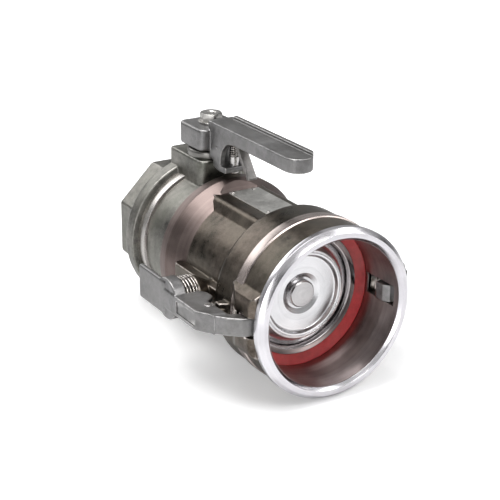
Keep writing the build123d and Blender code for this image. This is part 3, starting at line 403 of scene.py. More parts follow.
cast_parts = [turned("collar_and_barrel", [
    (COLLAR_R, 9.4, 1), (COLLAR_R, 70, 5), (BARREL_R, 81, 8), (BARREL_R, 139), (52, 139), (52, 84), (62, 68),
    (62, 9.4)], steps=128)]
cast_parts.append(plate("plate_pad", [
    (-30, 47), (-24.5, 57.3, 5), (24.5, 57.3, 5), (30, 47)], 72.2, 145.4, across="Y", edge=0.8))
cast_parts.append(slab("plate_pad_end", (-24, 24), (144.5, 150.8), (53.2, 57.3)))
for side in (-1, 1):
    lug = plate("window_lug", [
        (side * 61.2, 27.6), (side * 62.6, 27.0, 1.5), (side * 70.0, 23.0, 2.5), (side * 71.3, 18.5, 4),
        (side * 71.3, -18.5, 4), (side * 70.0, -23.0, 2.5), (side * 62.6, -27.0, 1.5), (side * 61.2, -27.6)],
        9.8, 46.4, across="Y")
    cast_parts.append(carved(lug, [
        plate("lug_ramp", [(side * 71.5, 31), (side * 71.5, 33, 6), (side * 65.5, 46.6), (side * 80, 50),
                           (side * 80, 31)], -30, 30),
        plate("lug_front", [(side * 66.5, 9), (side * 71.5, 14.5, 4), (side * 71.5, 18), (side * 80, 18),
                            (side * 80, 9)], -30, 30)]))
    cast_parts.append(plate("lug_root", [
        (side * 62, 44.8), (side * 69, 46.6, 2), (side * 75.8, 50.4, 2), (side * 75.8, 56.8, 1.5),
        (side * 62, 56.8)], -7.5, 7.5, edge=0.7))
    cast_parts.append(plate("pivot_lug", [
        (side * 61, 47.5), (side * (PIVOT_OUT - 3), 46.6, 3), (side * (PIVOT_OUT + 6.3), 46.6, 5.5),
        (side * (PIVOT_OUT + 6.3), 57.6, 5.5), (side * 61, 56.5)], -3.0, 3.0))
    cast_parts.append(plate("side_rib", [
        (side * 53, 56.2), (side * 66.6, 56.2), (side * 66.6, 69, 4), (side * 63.8, 76, 4),
        (side * 63.8, 144.8, 4), (side * 53, 144.8)], -7.1, 7.1, edge=0.6))
    cast_parts.append(turned("spring_seat", [
        (0, side * 50), (8, side * 50), (8, side * 60, 4), (15.1, side * 73.2, 1.5), (15.1, side * 75.4, 0.5),
        (11.9, side * 75.4), (11.9, side * 77.8, 1), (0, side * 77.8)], steps=72, closed=False,
        sideways=SPRING_STATION))
nose_cast = cast("nose_cast_skin", cast_parts, 1.15, blend=3, keep=0.75)


def window_cutters():
    """A block through each of the two windows that the latch hooks come in by."""
    front, back, half_height = LATCH_WINDOW
    return [slab("latch_window", (side * 50, side * 76), (front, back), (-half_height, half_height))
            for side in (-1, 1)]


for piece in (nose_cast, socket_bore, joint_flange):
    cutters = []
    if piece is not joint_flange:
        cutters += window_cutters()
    if piece is not socket_bore:
        cutters.append(plate("plate_room", [
            (134, 57.32), (146.2, 57.32), (153, 64.4), (153, 70), (134, 70)], -18, 18, across="X"))
    if piece is nose_cast:
        cutters += [rod("pin_hole", 3.02, at(side * PIVOT_OUT, PIVOT_STATION, -12),
                        at(side * PIVOT_OUT, PIVOT_STATION, 12), 32) for side in (-1, 1)]
        cutters.append(turned("bore_clearance", [(0, 140), (52, 140), (52, 166), (0, 166)], 64, closed=False))
    carved(piece, cutters)
for piece in (collar_band, mouth_rim):
    carved(piece, window_cutters())


def colour(hex_code):
    """A written sRGB colour as the renderer's linear one."""
    values = []
    for i in (0, 2, 4):
        c = int(hex_code[i:i + 2], 16) / 255
        values.append(c / 12.92 if c <= 0.04045 else ((c + 0.055) / 1.055) ** 2.4)
    return (*values, 1.0)


def effect(name, inputs, outputs):
    """A new node group, with its sockets and its two end nodes."""
    group = bpy.data.node_groups.new(name, "ShaderNodeTree")
    for socket, kind, value in inputs:
        made = group.interface.new_socket(socket, in_out="INPUT", socket_type="NodeSocket" + kind)
        if value is not None:
            made.default_value = value
    for socket in outputs:
        group.interface.new_socket(socket, in_out="OUTPUT", socket_type="NodeSocketFloat")
    return group, group.nodes.new("NodeGroupInput").outputs, group.nodes.new("NodeGroupOutput").inputs


# the skin that tumbling leaves on an investment casting: clouds, grit and pits
casting_skin, given, result = effect(
    "casting_skin", [("Vector", "Vector", None), ("Coarseness", "Float", 1.0)],
    ["Tone", "Tint", "Pits", "Height"])
place = node(casting_skin, "VectorMath", {"operation": "SCALE"}, _0=given["Vector"],
             Scale=given["Coarseness"]).outputs[0]
clouds = node(casting_skin, "TexNoise", _0=place, Scale=26.0, Detail=3.0, Roughness=0.55).outputs[0]
patches = node(casting_skin, "TexNoise", _0=place, Scale=130.0, Detail=4.0, Roughness=0.6).outputs[0]
grit = node(casting_skin, "TexNoise", _0=place, Scale=950.0, Detail=2.0, Roughness=0.6).outputs[0]
stains = node(casting_skin, "TexNoise", _0=place, Scale=17.0, Detail=2.0, Distortion=0.6).outputs[0]
holes = node(casting_skin, "TexVoronoi", Vector=place, Scale=300.0).outputs["Distance"]
fine_tone = math_node(casting_skin, "ADD", math_node(casting_skin, "MULTIPLY", patches, 0.38),
                      math_node(casting_skin, "MULTIPLY", grit, 0.17))
tone = math_node(casting_skin, "ADD", math_node(casting_skin, "MULTIPLY", clouds, 0.45), fine_tone)
pits = stretch(casting_skin, holes, 0.04, 0.2, 1.0, 0.0)
bumps = math_node(casting_skin, "ADD", math_node(casting_skin, "MULTIPLY", grit, 0.6),
                  math_node(casting_skin, "MULTIPLY", patches, 0.5))
height = math_node(casting_skin, "SUBTRACT", bumps, math_node(casting_skin, "MULTIPLY", pits, 0.35))
for output, value in (("Tone", stretch(casting_skin, tone, 0.38, 0.62)),
                      ("Tint", stretch(casting_skin, stains, 0.38, 0.62)),
                      ("Pits", pits), ("Height", height)):
    casting_skin.links.new(value, result[output])

# edges that handling has rubbed bright, with a painted highlight along them too
edge_wear_and_painted_highlight, given, result = effect("edge_wear_and_painted_highlight", [("Vector", "Vector", None)], ["Mask"])
sharp = node(edge_wear_and_painted_highlight, "NewGeometry").outputs["Pointiness"]
broken = node(edge_wear_and_painted_highlight, "TexNoise", _0=given["Vector"], Scale=260.0, Detail=3.0).outputs[0]
# painted highlight, partly real wear: a mask of the sharpest edges, broken up by noise
edge = stretch(edge_wear_and_painted_highlight, sharp, 0.52, 0.58)
edge_wear_and_painted_highlight.links.new(math_node(edge_wear_and_painted_highlight, "MULTIPLY", edge, stretch(edge_wear_and_painted_highlight, broken, 0.3, 0.55)),
                       result["Mask"])

# the fine rings that a lathe tool leaves round the flow axis
tool_rings, given, result = effect("tool_rings", [("Vector", "Vector", None), ("Pitch", "Float", 0.4)],
                                   ["Line", "Height"])
parts = node(tool_rings, "SeparateXYZ", _0=given["Vector"]).outputs
flat = node(tool_rings, "CombineXYZ", X=parts["X"], Z=parts["Z"]).outputs[0]
out_from_axis = node(tool_rings, "VectorMath", {"operation": "LENGTH"}, _0=flat).outputs["Value"]
along = math_node(tool_rings, "ADD", out_from_axis, math_node(tool_rings, "MULTIPLY", parts["Y"], 0.83))
rings = math_node(tool_rings, "DIVIDE", math_node(tool_rings, "MULTIPLY", along, 1000.0), given["Pitch"])
fine = node(tool_rings, "TexNoise", {"noise_dimensions": "1D"}, W=rings, Scale=1.0, Detail=2.0).outputs[0]
broad = node(tool_rings, "TexNoise", {"noise_dimensions": "1D"}, W=rings, Scale=0.11, Detail=1.0).outputs[0]
line = math_node(tool_rings, "ADD", math_node(tool_rings, "MULTIPLY", fine, 0.6),
                 math_node(tool_rings, "MULTIPLY", broad, 0.4))
tool_rings.links.new(stretch(tool_rings, line, 0.32, 0.68), result["Line"])
tool_rings.links.new(line, result["Height"])


def cast_steel(name, deep, light, stain, edge_wear_and_highlight, rough, coarseness=1.0, relief=0.5):
    """Stainless steel as cast and tumbled, darker in its clouds and bright on its edges, partly rubbed and
    partly a painted highlight.
    """
    material, tree, shader = new_material(name)
    place = node(tree, "TexCoord").outputs["Object"]
    skin = node(tree, "Group", {"node_tree": casting_skin}, Vector=place, Coarseness=coarseness).outputs
    edges = node(tree, "Group", {"node_tree": edge_wear_and_painted_highlight}, Vector=place).outputs["Mask"]
    base = blend_colours(tree, skin["Tone"], colour(deep), colour(light))
    base = blend_colours(tree, math_node(tree, "MULTIPLY", skin["Tint"], 0.45), base, colour(stain))
    base = blend_colours(tree, math_node(tree, "MULTIPLY", skin["Pits"], 0.25), base, colour("2A2724"))
    # painted highlight, partly real wear: the sharp edges are lightened in the colour itself
    base = blend_colours(tree, math_node(tree, "MULTIPLY", edges, 0.75), base, colour(edge_wear_and_highlight))
    gloss = stretch(tree, skin["Tone"], 0.0, 1.0, rough[0], rough[1])
    gloss = math_node(tree, "SUBTRACT", gloss, math_node(tree, "MULTIPLY", edges, 0.1))
    bump = node(tree, "Bump", Strength=relief, Distance=0.0003, Height=skin["Height"])
    tree.links.new(base, shader.inputs["Base Color"])
    tree.links.new(gloss, shader.inputs["Roughness"])
    tree.links.new(bump.outputs[0], shader.inputs["Normal"])
    shader.inputs["Metallic"].default_value = 1.0
    return material


def turned_steel(name, deep, light, rough, pitch=0.4, relief=0.15, streak=0.5, centre=(0, 0, 0),
                 turn=(0, 0, 0)):
    """Stainless steel turned on a lathe, with rings round an axis that is put on the piece's own."""
    material, tree, shader = new_material(name)
    place = node(tree, "TexCoord").outputs["Object"]
    placed = node(tree, "Mapping", {"vector_type": "TEXTURE"}, Vector=place, Location=centre,
                  Rotation=turn).outputs[0]
    rings = node(tree, "Group", {"node_tree": tool_rings}, Vector=placed, Pitch=pitch).outputs
    smears = node(tree, "TexNoise", _0=place, Scale=60.0, Detail=3.0).outputs[0]
    mix = math_node(tree, "ADD", math_node(tree, "MULTIPLY", rings["Line"], 0.6),
                    math_node(tree, "MULTIPLY", stretch(tree, smears, 0.35, 0.65), 0.4))
    tree.links.new(blend_colours(tree, mix, colour(deep), colour(light)), shader.inputs["Base Color"])
    tree.links.new(stretch(tree, mix, 0.0, 1.0, rough[0], rough[1]), shader.inputs["Roughness"])
    bump = node(tree, "Bump", Strength=relief, Distance=0.00005, Height=rings["Height"])
    tree.links.new(bump.outputs[0], shader.inputs["Normal"])
    shader.inputs["Metallic"].default_value = 1.0
    if streak:
        shader.inputs["Anisotropic"].default_value = streak
        tangent = node(tree, "Tangent", {"direction_type": "RADIAL", "axis": "Y"})
        tree.links.new(tangent.outputs[0], shader.inputs["Tangent"])
    return material


def finish(piece, material):
    """Give a piece its one material."""
    piece.data.materials.clear()
    piece.data.materials.append(material)


finish(nose_cast, cast_steel("nose_casting_skin", "38332D", "796F66", "5F5C52", "E6DED8", (0.27, 0.42)))
finish(mouth_rim, turned_steel("rim_steel", "C2C0C4", "E6E4E8", (0.18, 0.26), relief=0.06, streak=0.5))
finish(socket_bore, turned_steel("bore_steel", "847A78", "B0A5A2", (0.28, 0.36), relief=0.06, streak=0.8))
finish(collar_band, turned_steel("band_steel", "A89C98", "CFC4BF", (0.24, 0.34), relief=0.1))
finish(joint_flange, turned_steel("flange_steel", "5C514E", "837672", (0.36, 0.46), relief=0.1, streak=0.3))
for piece in (mouth_rim, socket_bore, collar_band, joint_flange, nose_cast):
    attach(piece, "housing")
    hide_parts("nose_housing")

# Name plate
# A thin bare plate of stainless sheet. It lies on its pad and is held at its
# corners by four round drive rivets.
PLATE_Z = 57.25
plate_sheet = plate("name_plate", [(-11.5, 85, 2), (17.5, 85, 2), (17.5, 145.5, 2), (-11.5, 145.5, 2)],
                    PLATE_Z, PLATE_Z + 0.75, edge=0.2)
finish(plate_sheet, cast_steel("plate_skin", "A9A8A4", "DEDDD9", "C4C3BF", "F2F1ED", (0.42, 0.54), 2.6, 0.2))
rivets = [rod("rivet", 1.7, at(x, station, PLATE_Z), at(x, station, PLATE_Z + 1.6), 32, 0.8)
          for x, station in ((-8, 142.5), (11.5, 142.5), (-8, 88), (13.5, 88))]
plate_rivets = joined("plate_rivets", rivets)
finish(plate_rivets, cast_steel("rivet_steel", "8A8784", "B5B2AE", "9A9690", "E0DCD8", (0.3, 0.4), 2.0, 0.2))
for piece in (plate_sheet, plate_rivets):
    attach(piece, "housing")

# Face seal
# The red rubber ring that the mating adaptor presses on, moulded, with a dished face.
face_seal = turned("face_seal_ring", [
    (51, 51.3, 0.3), (52.4, 51.0, 0.6), (60.6, 46.2, 0.8), (60.6, 56), (51, 56)], steps=192)
seal_rubber, tree, shader = new_material("red_seal_rubber")
place = node(tree, "TexCoord").outputs["Object"]
dust = node(tree, "Group", {"node_tree": casting_skin}, Vector=place, Coarseness=1.6).outputs
rubber = blend_colours(tree, dust["Tone"], colour("9A1C20"), colour("C22D31"))
rubber = blend_colours(tree, math_node(tree, "MULTIPLY", dust["Tint"], 0.16), rubber, colour("B98078"))
tree.links.new(rubber, shader.inputs["Base Color"])
tree.links.new(stretch(tree, dust["Tone"], 0.0, 1.0, 0.38, 0.52), shader.inputs["Roughness"])
bump = node(tree, "Bump", Strength=0.25, Distance=0.0001, Height=dust["Height"])
tree.links.new(bump.outputs[0], shader.inputs["Normal"])
finish(face_seal, seal_rubber)
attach(face_seal, "housing")
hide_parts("face_seal")

# Seal retainer
# A turned and polished stainless ring, screwed in behind the mouth. Its rounded
# lip holds the face seal, and the poppet closes on the cone inside it.
seal_retainer = turned("seal_retainer_ring", [
    (45.6, 52.6, 0.6), (46.9, 50.2, 1.4), (52.2, 50.2, 0.9), (52.2, 50.95), (50.9, 51.3), (50.9, 56),
    (49.2, 56), (49.2, 67), (45, 67), (42.3, 65, 0.3), (42.3, 58.4, 0.4), (45.6, 55, 0.3)], steps=192)
finish(seal_retainer, turned_steel("polished_ring", "8E8989", "B9B4B5", (0.12, 0.2), pitch=0.3, relief=0.06,
                                   streak=0.6))
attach(seal_retainer, "housing")
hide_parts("seal_retainer")

# Poppet
# The dished valve disc, turned from stainless bar and polished until it mirrors
# the socket. Its double rim and the groove round its boss stand out of the dish.
poppet = turned("poppet_disc", [
    (8.05, 77), (8.05, 52.4), (12.4, 52.4, 0.5), (13.4, 52.3, 0.8), (17.2, 50.1, 1.0), (31.4, 50.1, 1.4),
    (33.2, 47.2, 0.5), (34.6, 47.0, 0.35), (35.1, 47.75, 0.2), (35.6, 47.0, 0.35), (37, 47.2, 0.7),
    (45.2, 54.3, 0.5), (45.2, 54.9, 0.3), (42, 58.4), (42, 60), (39.4, 60), (39.4, 63), (42, 63),
    (42, 64.4, 0.5), (14, 64.4, 2), (14, 76.4, 1)], steps=192)
finish(poppet, turned_steel("mirror_steel", "CDCDCF", "F0F0F2", (0.17, 0.24), pitch=0.25, relief=0.05,
                            streak=0.9))
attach(poppet, "poppet_group")
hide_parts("poppet")

# Poppet nut
# A round nut, faced flat, that holds the poppet on its shaft.
poppet_nut = turned("poppet_nut_cap", [
    (0, 48.2), (10.2, 48.2, 0.3), (11.4, 49.2, 0.4), (11.4, 52.3), (0, 52.3)], steps=128, closed=False)
faced_steel = turned_steel("faced_steel", "A9A7A8", "D6D4D4", (0.18, 0.3), pitch=0.3, relief=0.12)
finish(poppet_nut, faced_steel)
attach(poppet_nut, "poppet_group")
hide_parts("poppet_nut")

# Shaft, yoke, crank and guides
# The inner parts that turn the lever's swing into the poppet's travel: turned
# and milled stainless steel, bronze bushes and a bronze roller, black seal rings.
black_rubber, tree, shader = new_material("black_ring_rubber")
place = node(tree, "TexCoord").outputs["Object"]
dust = node(tree, "Group", {"node_tree": casting_skin}, Vector=place, Coarseness=2.0).outputs
black = blend_colours(tree, dust["Tone"], colour("121212"), colour("2A2927"))
tree.links.new(black, shader.inputs["Base Color"])
tree.links.new(stretch(tree, dust["Tone"], 0.0, 1.0, 0.4, 0.6), shader.inputs["Roughness"])
bearing_bronze = turned_steel("turned_bronze", "A07A3E", "C79E5C", (0.22, 0.36), pitch=0.4, streak=0)
inner_steel = turned_steel("inner_turned_steel", "9C9A99", "CFCCCA", (0.2, 0.34), pitch=0.4, streak=0)
for names, material in (
        (("nose_joint_seal", "tail_joint_seal", "poppet_seal", "stem_seals"), black_rubber),
        (("guide_bush", "stem_bush", "crank_roller"), bearing_bronze),
        (("poppet_shaft", "yoke", "yoke_pin", "guide_spider", "crank", "crank_pin", "stem", "trigger_pin"),
         inner_steel)):
    for name in names:
        finish(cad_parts[name], material)

# Valve housing
# The rear casting that carries the stem in its tower. It is blasted grey-green;
# the land in front of its rear flange is turned bright.
STEM_STATION = 193.7
valve_turning = turned("valve_turned_faces", [
    (45.5, 152.5), (50.9, 152.5), (50.9, 165), (58.9, 165, 0.3), (58.9, 201.5), (61.9, 202.3, 0.4),
    (61.9, 213.8), (56, 214.2), (56, 229.9), (50, 229.9), (50, 214.5), (45.5, 214.5)], steps=160)
valve_cast = cast("valve_cast_skin", [
    turned("valve_barrel", [(59.4, 165.3, 0.6), (59.4, 203), (54, 203), (54, 165.3)], steps=128),
    turned("rear_flange", [
        (59.5, 213.0), (62.4, 213.0), (67, 214.2, 1.6), (67, 226, 1.2), (62, 229.9, 0.8), (54, 229.9),
        (54, 213.0)], steps=128),
    plate("stem_tower", [
        (-21.4, STEM_STATION - 20.8, 7.5), (21.4, STEM_STATION - 20.8, 7.5), (21.4, 228.6, 3),
        (-21.4, 228.6, 3)], 53, 77.9, edge=1.6)], 1.1, blend=3, keep=0.8)
carved(valve_cast, [rod("stem_bore", 13.0, at(0, STEM_STATION, 40), at(0, STEM_STATION, 90), 64)])
valve_skin = cast_steel("valve_casting_skin", "565551", "95938D", "74766C", "D6D4CF", (0.32, 0.46), 1.1)
finish(valve_cast, valve_skin)
finish(valve_turning, turned_steel("valve_turned_steel", "A8A4A0", "D0CCC9", (0.2, 0.32), relief=0.1))
for piece in (valve_turning, valve_cast):
    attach(piece, "housing")
    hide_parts("valve_housing")

# Threaded end
# An octagonal cast end for a wrench. A taper pipe thread is cut in its bore, and
# its rear face is turned flat for the pipe.
FLAT_R = 54.75
THREAD_PITCH = 3.175
corner_r = FLAT_R / math.cos(math.pi / 8)
octagon_cast = cast("octagon_cast_skin", [plate("octagon_body", [
    (corner_r * math.cos(math.radians(22.5 + 45 * k)), corner_r * math.sin(math.radians(22.5 + 45 * k)), 2.5)
    for k in range(8)], 229.6, 260.6, across="Y", edge=1.4)], 1.1, blend=3, keep=0.7)
carved(octagon_cast, [rod("thread_room", 46.5, at(0, 228, 0), at(0, 263, 0), 96)])
thread_bore = turned("threaded_bore", [
    (49.9, 214.9), (49.9, 230), (47.2, 230), (47.2, 260.2), (52.8, 260.4), (52.6, 261, 0.2), (44.9, 261, 0.3),
    (43.9, 259.6), (43.9, 233), (40.5, 233), (40.5, 213.5), (49.9, 213.5)], steps=160)
ridge = draw_outline("pipe_thread_ridge", [
    (44.3, MOUTH + 232.6, 0), (42.1, MOUTH + 232.6 + THREAD_PITCH * 0.42, 0),
    (42.1, MOUTH + 232.6 + THREAD_PITCH * 0.52, 0), (44.3, MOUTH + 232.6 + THREAD_PITCH * 0.94, 0),
    (44.3, MOUTH + 232.6, 0)])
bpy.ops.mesh.remove_doubles(threshold=1e-6)
bpy.ops.object.mode_set(mode="OBJECT")
wind = ridge.modifiers.new("thread", "SCREW")
wind.axis = "Y"
wind.angle = 2 * math.pi
wind.screw_offset = THREAD_PITCH * MM
wind.iterations = 8
wind.steps = wind.render_steps = 96
wind.use_merge_vertices = False
bpy.ops.object.modifier_apply(modifier=wind.name)
bpy.ops.object.mode_set(mode="EDIT")
bpy.ops.mesh.select_all(action="DESELECT")
bpy.ops.mesh.select_non_manifold(extend=False, use_wire=False, use_multi_face=False, use_non_contiguous=False,
                                 use_verts=False)
bpy.ops.mesh.edge_face_add()
close_mesh(ridge)
bpy.ops.object.shade_smooth_by_angle(angle=math.radians(32))
finish(octagon_cast, valve_skin)
for piece in (thread_bore, ridge):
    finish(piece, turned_steel("cut_thread_steel", "9E9A97", "CFCAC6", (0.22, 0.36)))
for piece in (octagon_cast, thread_bore, ridge):
    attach(piece, "housing")
    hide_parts("threaded_end")

# Gland ring
# A turned ring pressed into the tower round the stem, with a rounded rim.
gland_ring = turned("gland_ring_cap", [
    (9.1, 70), (12.9, 70), (12.9, 77.9), (20.4, 77.9, 0.4), (20.4, 84.4, 2.6), (12, 84.4, 0.6),
    (9.1, 83.6, 0.4)], steps=96, upright=(0, STEM_STATION))
stem_turn = {"centre": (0, (MOUTH + STEM_STATION) * MM, 0), "turn": (math.radians(90), 0, 0)}
gland_steel = turned_steel("gland_steel", "6E6C69", "989692", (0.26, 0.38), streak=0, **stem_turn)
finish(gland_ring, gland_steel)
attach(gland_ring, "housing")
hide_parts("gland_ring")

# Lever
# One stainless casting, bead-blasted: a square hub on the stem, a flat bar with a
# raised edge, and a leg that hides the locking plunger.
TIP_STATION, TIP_R = 59.7, 12.0
TRIGGER_STATION, TRIGGER_Z = 146.5, 102.5
PLUNGER_STATION = 155
BAR_HALF = 11.9
bar_rim = []
for k in range(5):
    a = math.radians(12 * k)
    bar_rim.append((TIP_R * math.cos(a), TIP_STATION - TIP_R * math.sin(a)))
lever = cast("lever_casting", [
    plate("lever_hub", [(-21.3, 173.9, 6.5), (21.3, 173.9, 6.5), (21.3, 213.5, 6.5), (-21.3, 213.5, 6.5)],
          86.1, 104.9, edge=2.2),
    plate("lever_bar", [
        (-BAR_HALF, TIP_STATION - BAR_HALF, 11.8), (BAR_HALF, TIP_STATION - BAR_HALF, 11.8), (BAR_HALF, 178),
        (-BAR_HALF, 178)], 100.1, 111.9, edge=0.8),
    plate("lever_leg", [
        (163, 72.6, 3), (169.3, 74.6, 3), (176, 79.4, 3), (178.6, 86.2), (181, 88), (181, 104.5),
        (172.7, 104.5, 7), (172.7, 111.9, 1), (136, 111.9), (136, 100.2), (158.1, 100.2, 20),
        (158.1, 77.4, 1), (148.9, 77.4, 1), (148.9, 72.6, 1.5)], -BAR_HALF, BAR_HALF, across="X", edge=0.8),
    plate("raised_edge", bar_rim[::-1] + [(BAR_HALF, 171.5, 2), (8, 171.5, 2)], 111, 114.4, edge=0.6),
], 0.75, blend=2, keep=0.8)
carved(lever, [
    rod("tower_room", 27.3, at(0, STEM_STATION, 70), at(0, STEM_STATION, 79.6), 96),
    rod("gland_room", 21.5, at(0, STEM_STATION, 70), at(0, STEM_STATION, 86.05), 96),
    slab("plunger_channel", (-7.5, 7.5), (147, 163.5), (77.6, 97)),
    slab("trigger_slot", (-4.6, 4.6), (138.5, 153), (95, 108.5)),
    slab("toe_slot", (-4.4, 4.4), (146.5, 160), (96, 108.5)),
    rod("plunger_hole", 4.1, at(0, PLUNGER_STATION, 71), at(0, PLUNGER_STATION, 79), 48),
    rod("pin_hole", 2.02, at(-9, TRIGGER_STATION, TRIGGER_Z), at(13, TRIGGER_STATION, TRIGGER_Z), 32),
    rod("side_dimple", 1.1, at(-13, 164, 92), at(-10.8, 164, 92), 24),
    slab("stem_square", (-6.25, 6.25), (187.45, 199.95), (85, 107)),
    rod("stem_round", 9.2, at(0, STEM_STATION, 85), at(0, STEM_STATION, 86.6), 64)])
blasted_steel = cast_steel("blasted_casting", "6C6B6B", "979696", "7E7D7B", "DEDCDA", (0.34, 0.46), 1.6, 0.35)
finish(lever, blasted_steel)
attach(lever, "lever_group")
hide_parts("handle")

# Lever bolt and washer
# A forged hexagon bolt with a dished head, over a flat washer.
BOLT_FLAT_R, BOLT_TURN = 8.5, 12
bolt_corner = BOLT_FLAT_R / math.cos(math.pi / 6)
hexagon = []
for k in range(6):
    a = math.radians(60 * k + BOLT_TURN)
    hexagon.append((bolt_corner * math.sin(a), STEM_STATION + bolt_corner * math.cos(a)))
bolt_head = plate("lever_bolt", hexagon, 106.6, 113.6)
carved(bolt_head, [
    turned("head_chamfer", [(8.3, 113.8), (12, 111.4), (12, 113.8)], steps=64, upright=(0, STEM_STATION)),
    turned("head_dish", [(0, 112.5), (3.4, 112.6, 0.5), (4.6, 113.8), (0, 113.8)], steps=64, closed=False,
           upright=(0, STEM_STATION))])
soften_edges(bolt_head, 0.3, 25, segments=2)
bpy.ops.object.shade_smooth_by_angle(angle=math.radians(30))
bolt = joined("lever_bolt_body", [bolt_head, rod("bolt_shank", 5.0, at(0, STEM_STATION, 84.6),
                                                 at(0, STEM_STATION, 106.8), 48)])
washer = turned("lever_washer", [(5.3, 105), (11, 105, 0.3), (11, 106.6, 0.5), (5.3, 106.6, 0.3)], steps=96,
                upright=(0, STEM_STATION))
bolt_steel = turned_steel("bolt_steel", "8A8986", "C6C4C0", (0.24, 0.36), streak=0, **stem_turn)
for piece, replaced in ((bolt, "handle_bolt"), (washer, "handle_washer")):
    finish(piece, bolt_steel)
    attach(piece, "lever_group")
    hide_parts(replaced)

# Trigger
# A small cast pawl on a pin under the bar. Its forked toe lifts the plunger when
# a finger pulls its tail back.
trigger = cast("trigger_pawl", [
    plate("trigger_tail", [
        (144.6, 102.5), (140.7, 94.3, 4), (124.4, 73, 1), (128.2, 71.5, 1), (144.5, 92.7, 4), (148.4, 102.5)],
        -4.1, 4.1, across="X", edge=0.5),
    rod("trigger_eye", 4.1, at(-4.1, TRIGGER_STATION, TRIGGER_Z), at(4.1, TRIGGER_STATION, TRIGGER_Z), 48),
    slab("trigger_toe", (-3.9, 3.9), (TRIGGER_STATION, 155.4), (98.6, 101.9), 0.5)], 0.5, blend=2)
carved(trigger, [
    slab("toe_fork", (-2.3, 2.3), (152.5, 158), (97.5, 103)),
    rod("trigger_bore", 2.05, at(-6, TRIGGER_STATION, TRIGGER_Z), at(6, TRIGGER_STATION, TRIGGER_Z), 32)])
finish(trigger, cast_steel("trigger_skin", "6E6C6B", "A09D9B", "8B8884", "D5D2CF", (0.34, 0.46), 2.0, 0.3))
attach(trigger, "trigger_body")
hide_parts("trigger")

# Locking plunger and its spring
# A turned steel plunger in the lever's leg, pressed down by a small bright spring
# under a washer. The spring shortens when the trigger lifts the plunger.
plunger_centre = {"centre": (0, (MOUTH + PLUNGER_STATION) * MM, 0), "turn": (math.radians(90), 0, 0)}
plunger_steel = turned_steel("plunger_steel", "A5A3A2", "D2D0CE", (0.18, 0.3), streak=0, **plunger_centre)
finish(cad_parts["plunger"], plunger_steel)
finish(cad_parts["plunger_washer"], plunger_steel)


def drawn_wire(name, deep, light, rough):
    """Bright spring wire, with faint scratches along its drawing."""
    material, tree, shader = new_material(name)
    place = node(tree, "TexCoord").outputs["Object"]
    scratch = node(tree, "TexNoise", _0=place, Scale=700.0, Detail=3.0).outputs[0]
    wear = stretch(tree, scratch, 0.35, 0.65)
    tree.links.new(blend_colours(tree, wear, colour(deep), colour(light)), shader.inputs["Base Color"])
    tree.links.new(stretch(tree, wear, 0.0, 1.0, rough[0], rough[1]), shader.inputs["Roughness"])
    shader.inputs["Metallic"].default_value = 1.0
    return material


def coil_spring(name, coil_r, wire_r, turns, length, start, turn):
    """A coil of round wire, wound along X from its start and then turned to its own direction."""
    bpy.ops.object.select_all(action="DESELECT")
    bpy.ops.mesh.primitive_circle_add(vertices=14, radius=wire_r * MM)
    piece = bpy.context.object
    piece.name = name
    bpy.ops.object.mode_set(mode="EDIT")
    bpy.ops.mesh.select_all(action="SELECT")
    bpy.ops.transform.translate(value=(0, coil_r * MM, 0))
    bpy.ops.object.mode_set(mode="OBJECT")
    coil = piece.modifiers.new("coil", "SCREW")
    coil.axis = "X"
    coil.angle = 2 * math.pi
    coil.screw_offset = length / turns * MM
    coil.iterations = turns
    coil.steps = coil.render_steps = 44
    bpy.ops.object.modifier_apply(modifier=coil.name)
    piece.location = Vector(start) * MM
    piece.rotation_euler = turn
    bpy.ops.object.transform_apply(location=True, rotation=True, scale=True)
    bpy.ops.object.mode_set(mode="EDIT")
    bpy.ops.mesh.select_all(action="SELECT")
    bpy.ops.mesh.fill_holes(sides=0)
    close_mesh(piece)
    bpy.ops.object.shade_smooth_by_angle(angle=math.radians(50))
    finish(piece, spring_wire)
    return piece


spring_wire = drawn_wire("spring_wire", "9C9792", "D9D4CF", (0.16, 0.3))
pawl_spring = coil_spring("plunger_spring_coil", 3.75, 0.55, 5, 9.4, at(0, PLUNGER_STATION, 85.65),
                          (0, math.radians(-90), 0))
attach(pawl_spring, "lever_group")
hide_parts("plunger_spring")
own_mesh(pawl_spring)

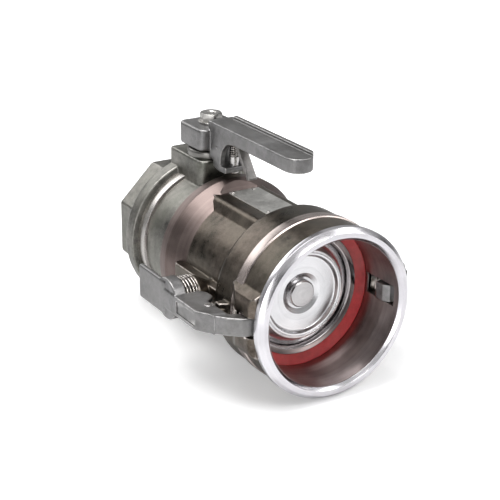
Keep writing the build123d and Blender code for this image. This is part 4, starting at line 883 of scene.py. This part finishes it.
# Latch arms
# Two cast levers, one on each side, alike but mirrored. Each has a hook that
# comes through the housing's window, two cheeks on its pivot pin, and a paddle
# that a spring holds out. A plain sunk panel lies on the outer face.
ARM_OUT, ARM_IN = 98.5, 94.0
for side, hand in ((-1, "left"), (1, "right")):
    arm_parts = [
        plate("arm_wall", [
            (side * ARM_OUT, 46.5, 10), (side * ARM_OUT, 138.5), (side * ARM_IN, 138.5), (side * ARM_IN, 48),
            (side * (ARM_IN - 4), 31), (side * (ARM_OUT - 7.5), 34.5, 8)], -7.9, 7.9, edge=0.9),
        plate("arm_hook", [
            (side * 92, 48), (side * 91, 34, 6), (side * 83, 24.4, 6), (side * 74, 16.5, 6),
            (side * 65.9, 13.6, 4), (side * 59.6, 13.6, 0.8), (side * 55.6, 19, 1), (side * 55.6, 27.9, 1),
            (side * 65.9, 27.4, 3), (side * 72.5, 27.4, 3), (side * 83, 34.5, 4)], -7.4, 7.4, edge=0.7),
        slab("arm_paddle", (side * ARM_OUT, side * ARM_IN), (95.1, 139.4), (-14.3, 14.3), 1.6),
        rod("spring_cup", 17.0, at(side * 97.4, SPRING_STATION, 0), at(side * 87.1, SPRING_STATION, 0),
            72, 0.5)]
    for level in (-1, 1):
        arm_parts.append(plate("arm_cheek", [
            (side * 94.8, 87), (side * 75.6, 79.8, 3), (side * 72, 74, 3), (side * 72, 65.2, 3),
            (side * 80, 58.6, 1.5), (side * 79, 30.2, 1), (side * 90.5, 36),
            (side * 94.8, 46)], level * 7.9, level * 3.6, edge=0.6))
    arm = cast("latch_arm_" + hand + "_casting", arm_parts, 0.95, blend=2, keep=0.8)
    carved(arm, [
        rod("coil_room", 17.1, at(side * 56, SPRING_STATION, 0), at(side * 87.05, SPRING_STATION, 0), 96),
        rod("cup_bore", 15.8, at(side * 85, SPRING_STATION, 0), at(side * 93.5, SPRING_STATION, 0), 96),
        rod("arm_bore", 3.05, at(side * PIVOT_OUT, PIVOT_STATION, -10),
            at(side * PIVOT_OUT, PIVOT_STATION, 10), 32),
        plate("blank_panel", [(47, -5, 1), (76, -5, 1), (76, 5, 1), (47, 5, 1)], side * 97.8, side * 100,
              across="X")])
    finish(arm, blasted_steel)
    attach(arm, hand + "_latch")
    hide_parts("latch_arm_" + hand)

    # the pivot pin, a ground rod with rounded ends, and the bright coil spring
    pin = rod("latch_pin_" + hand + "_rod", 3.0, at(side * PIVOT_OUT, PIVOT_STATION, -8.3),
              at(side * PIVOT_OUT, PIVOT_STATION, 8.3), 48, 0.6)
    finish(pin, inner_steel)
    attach(pin, "housing")
    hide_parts("latch_pin_" + hand)
    latch_coil = coil_spring("latch_spring_" + hand + "_coil", 14.8, 0.7, 6, 16.4,
                             at(side * 76.3, SPRING_STATION, 0), (0, 0, math.radians(90 - side * 90)))
    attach(latch_coil, "housing")
    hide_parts("latch_spring_" + hand)
    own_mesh(latch_coil)
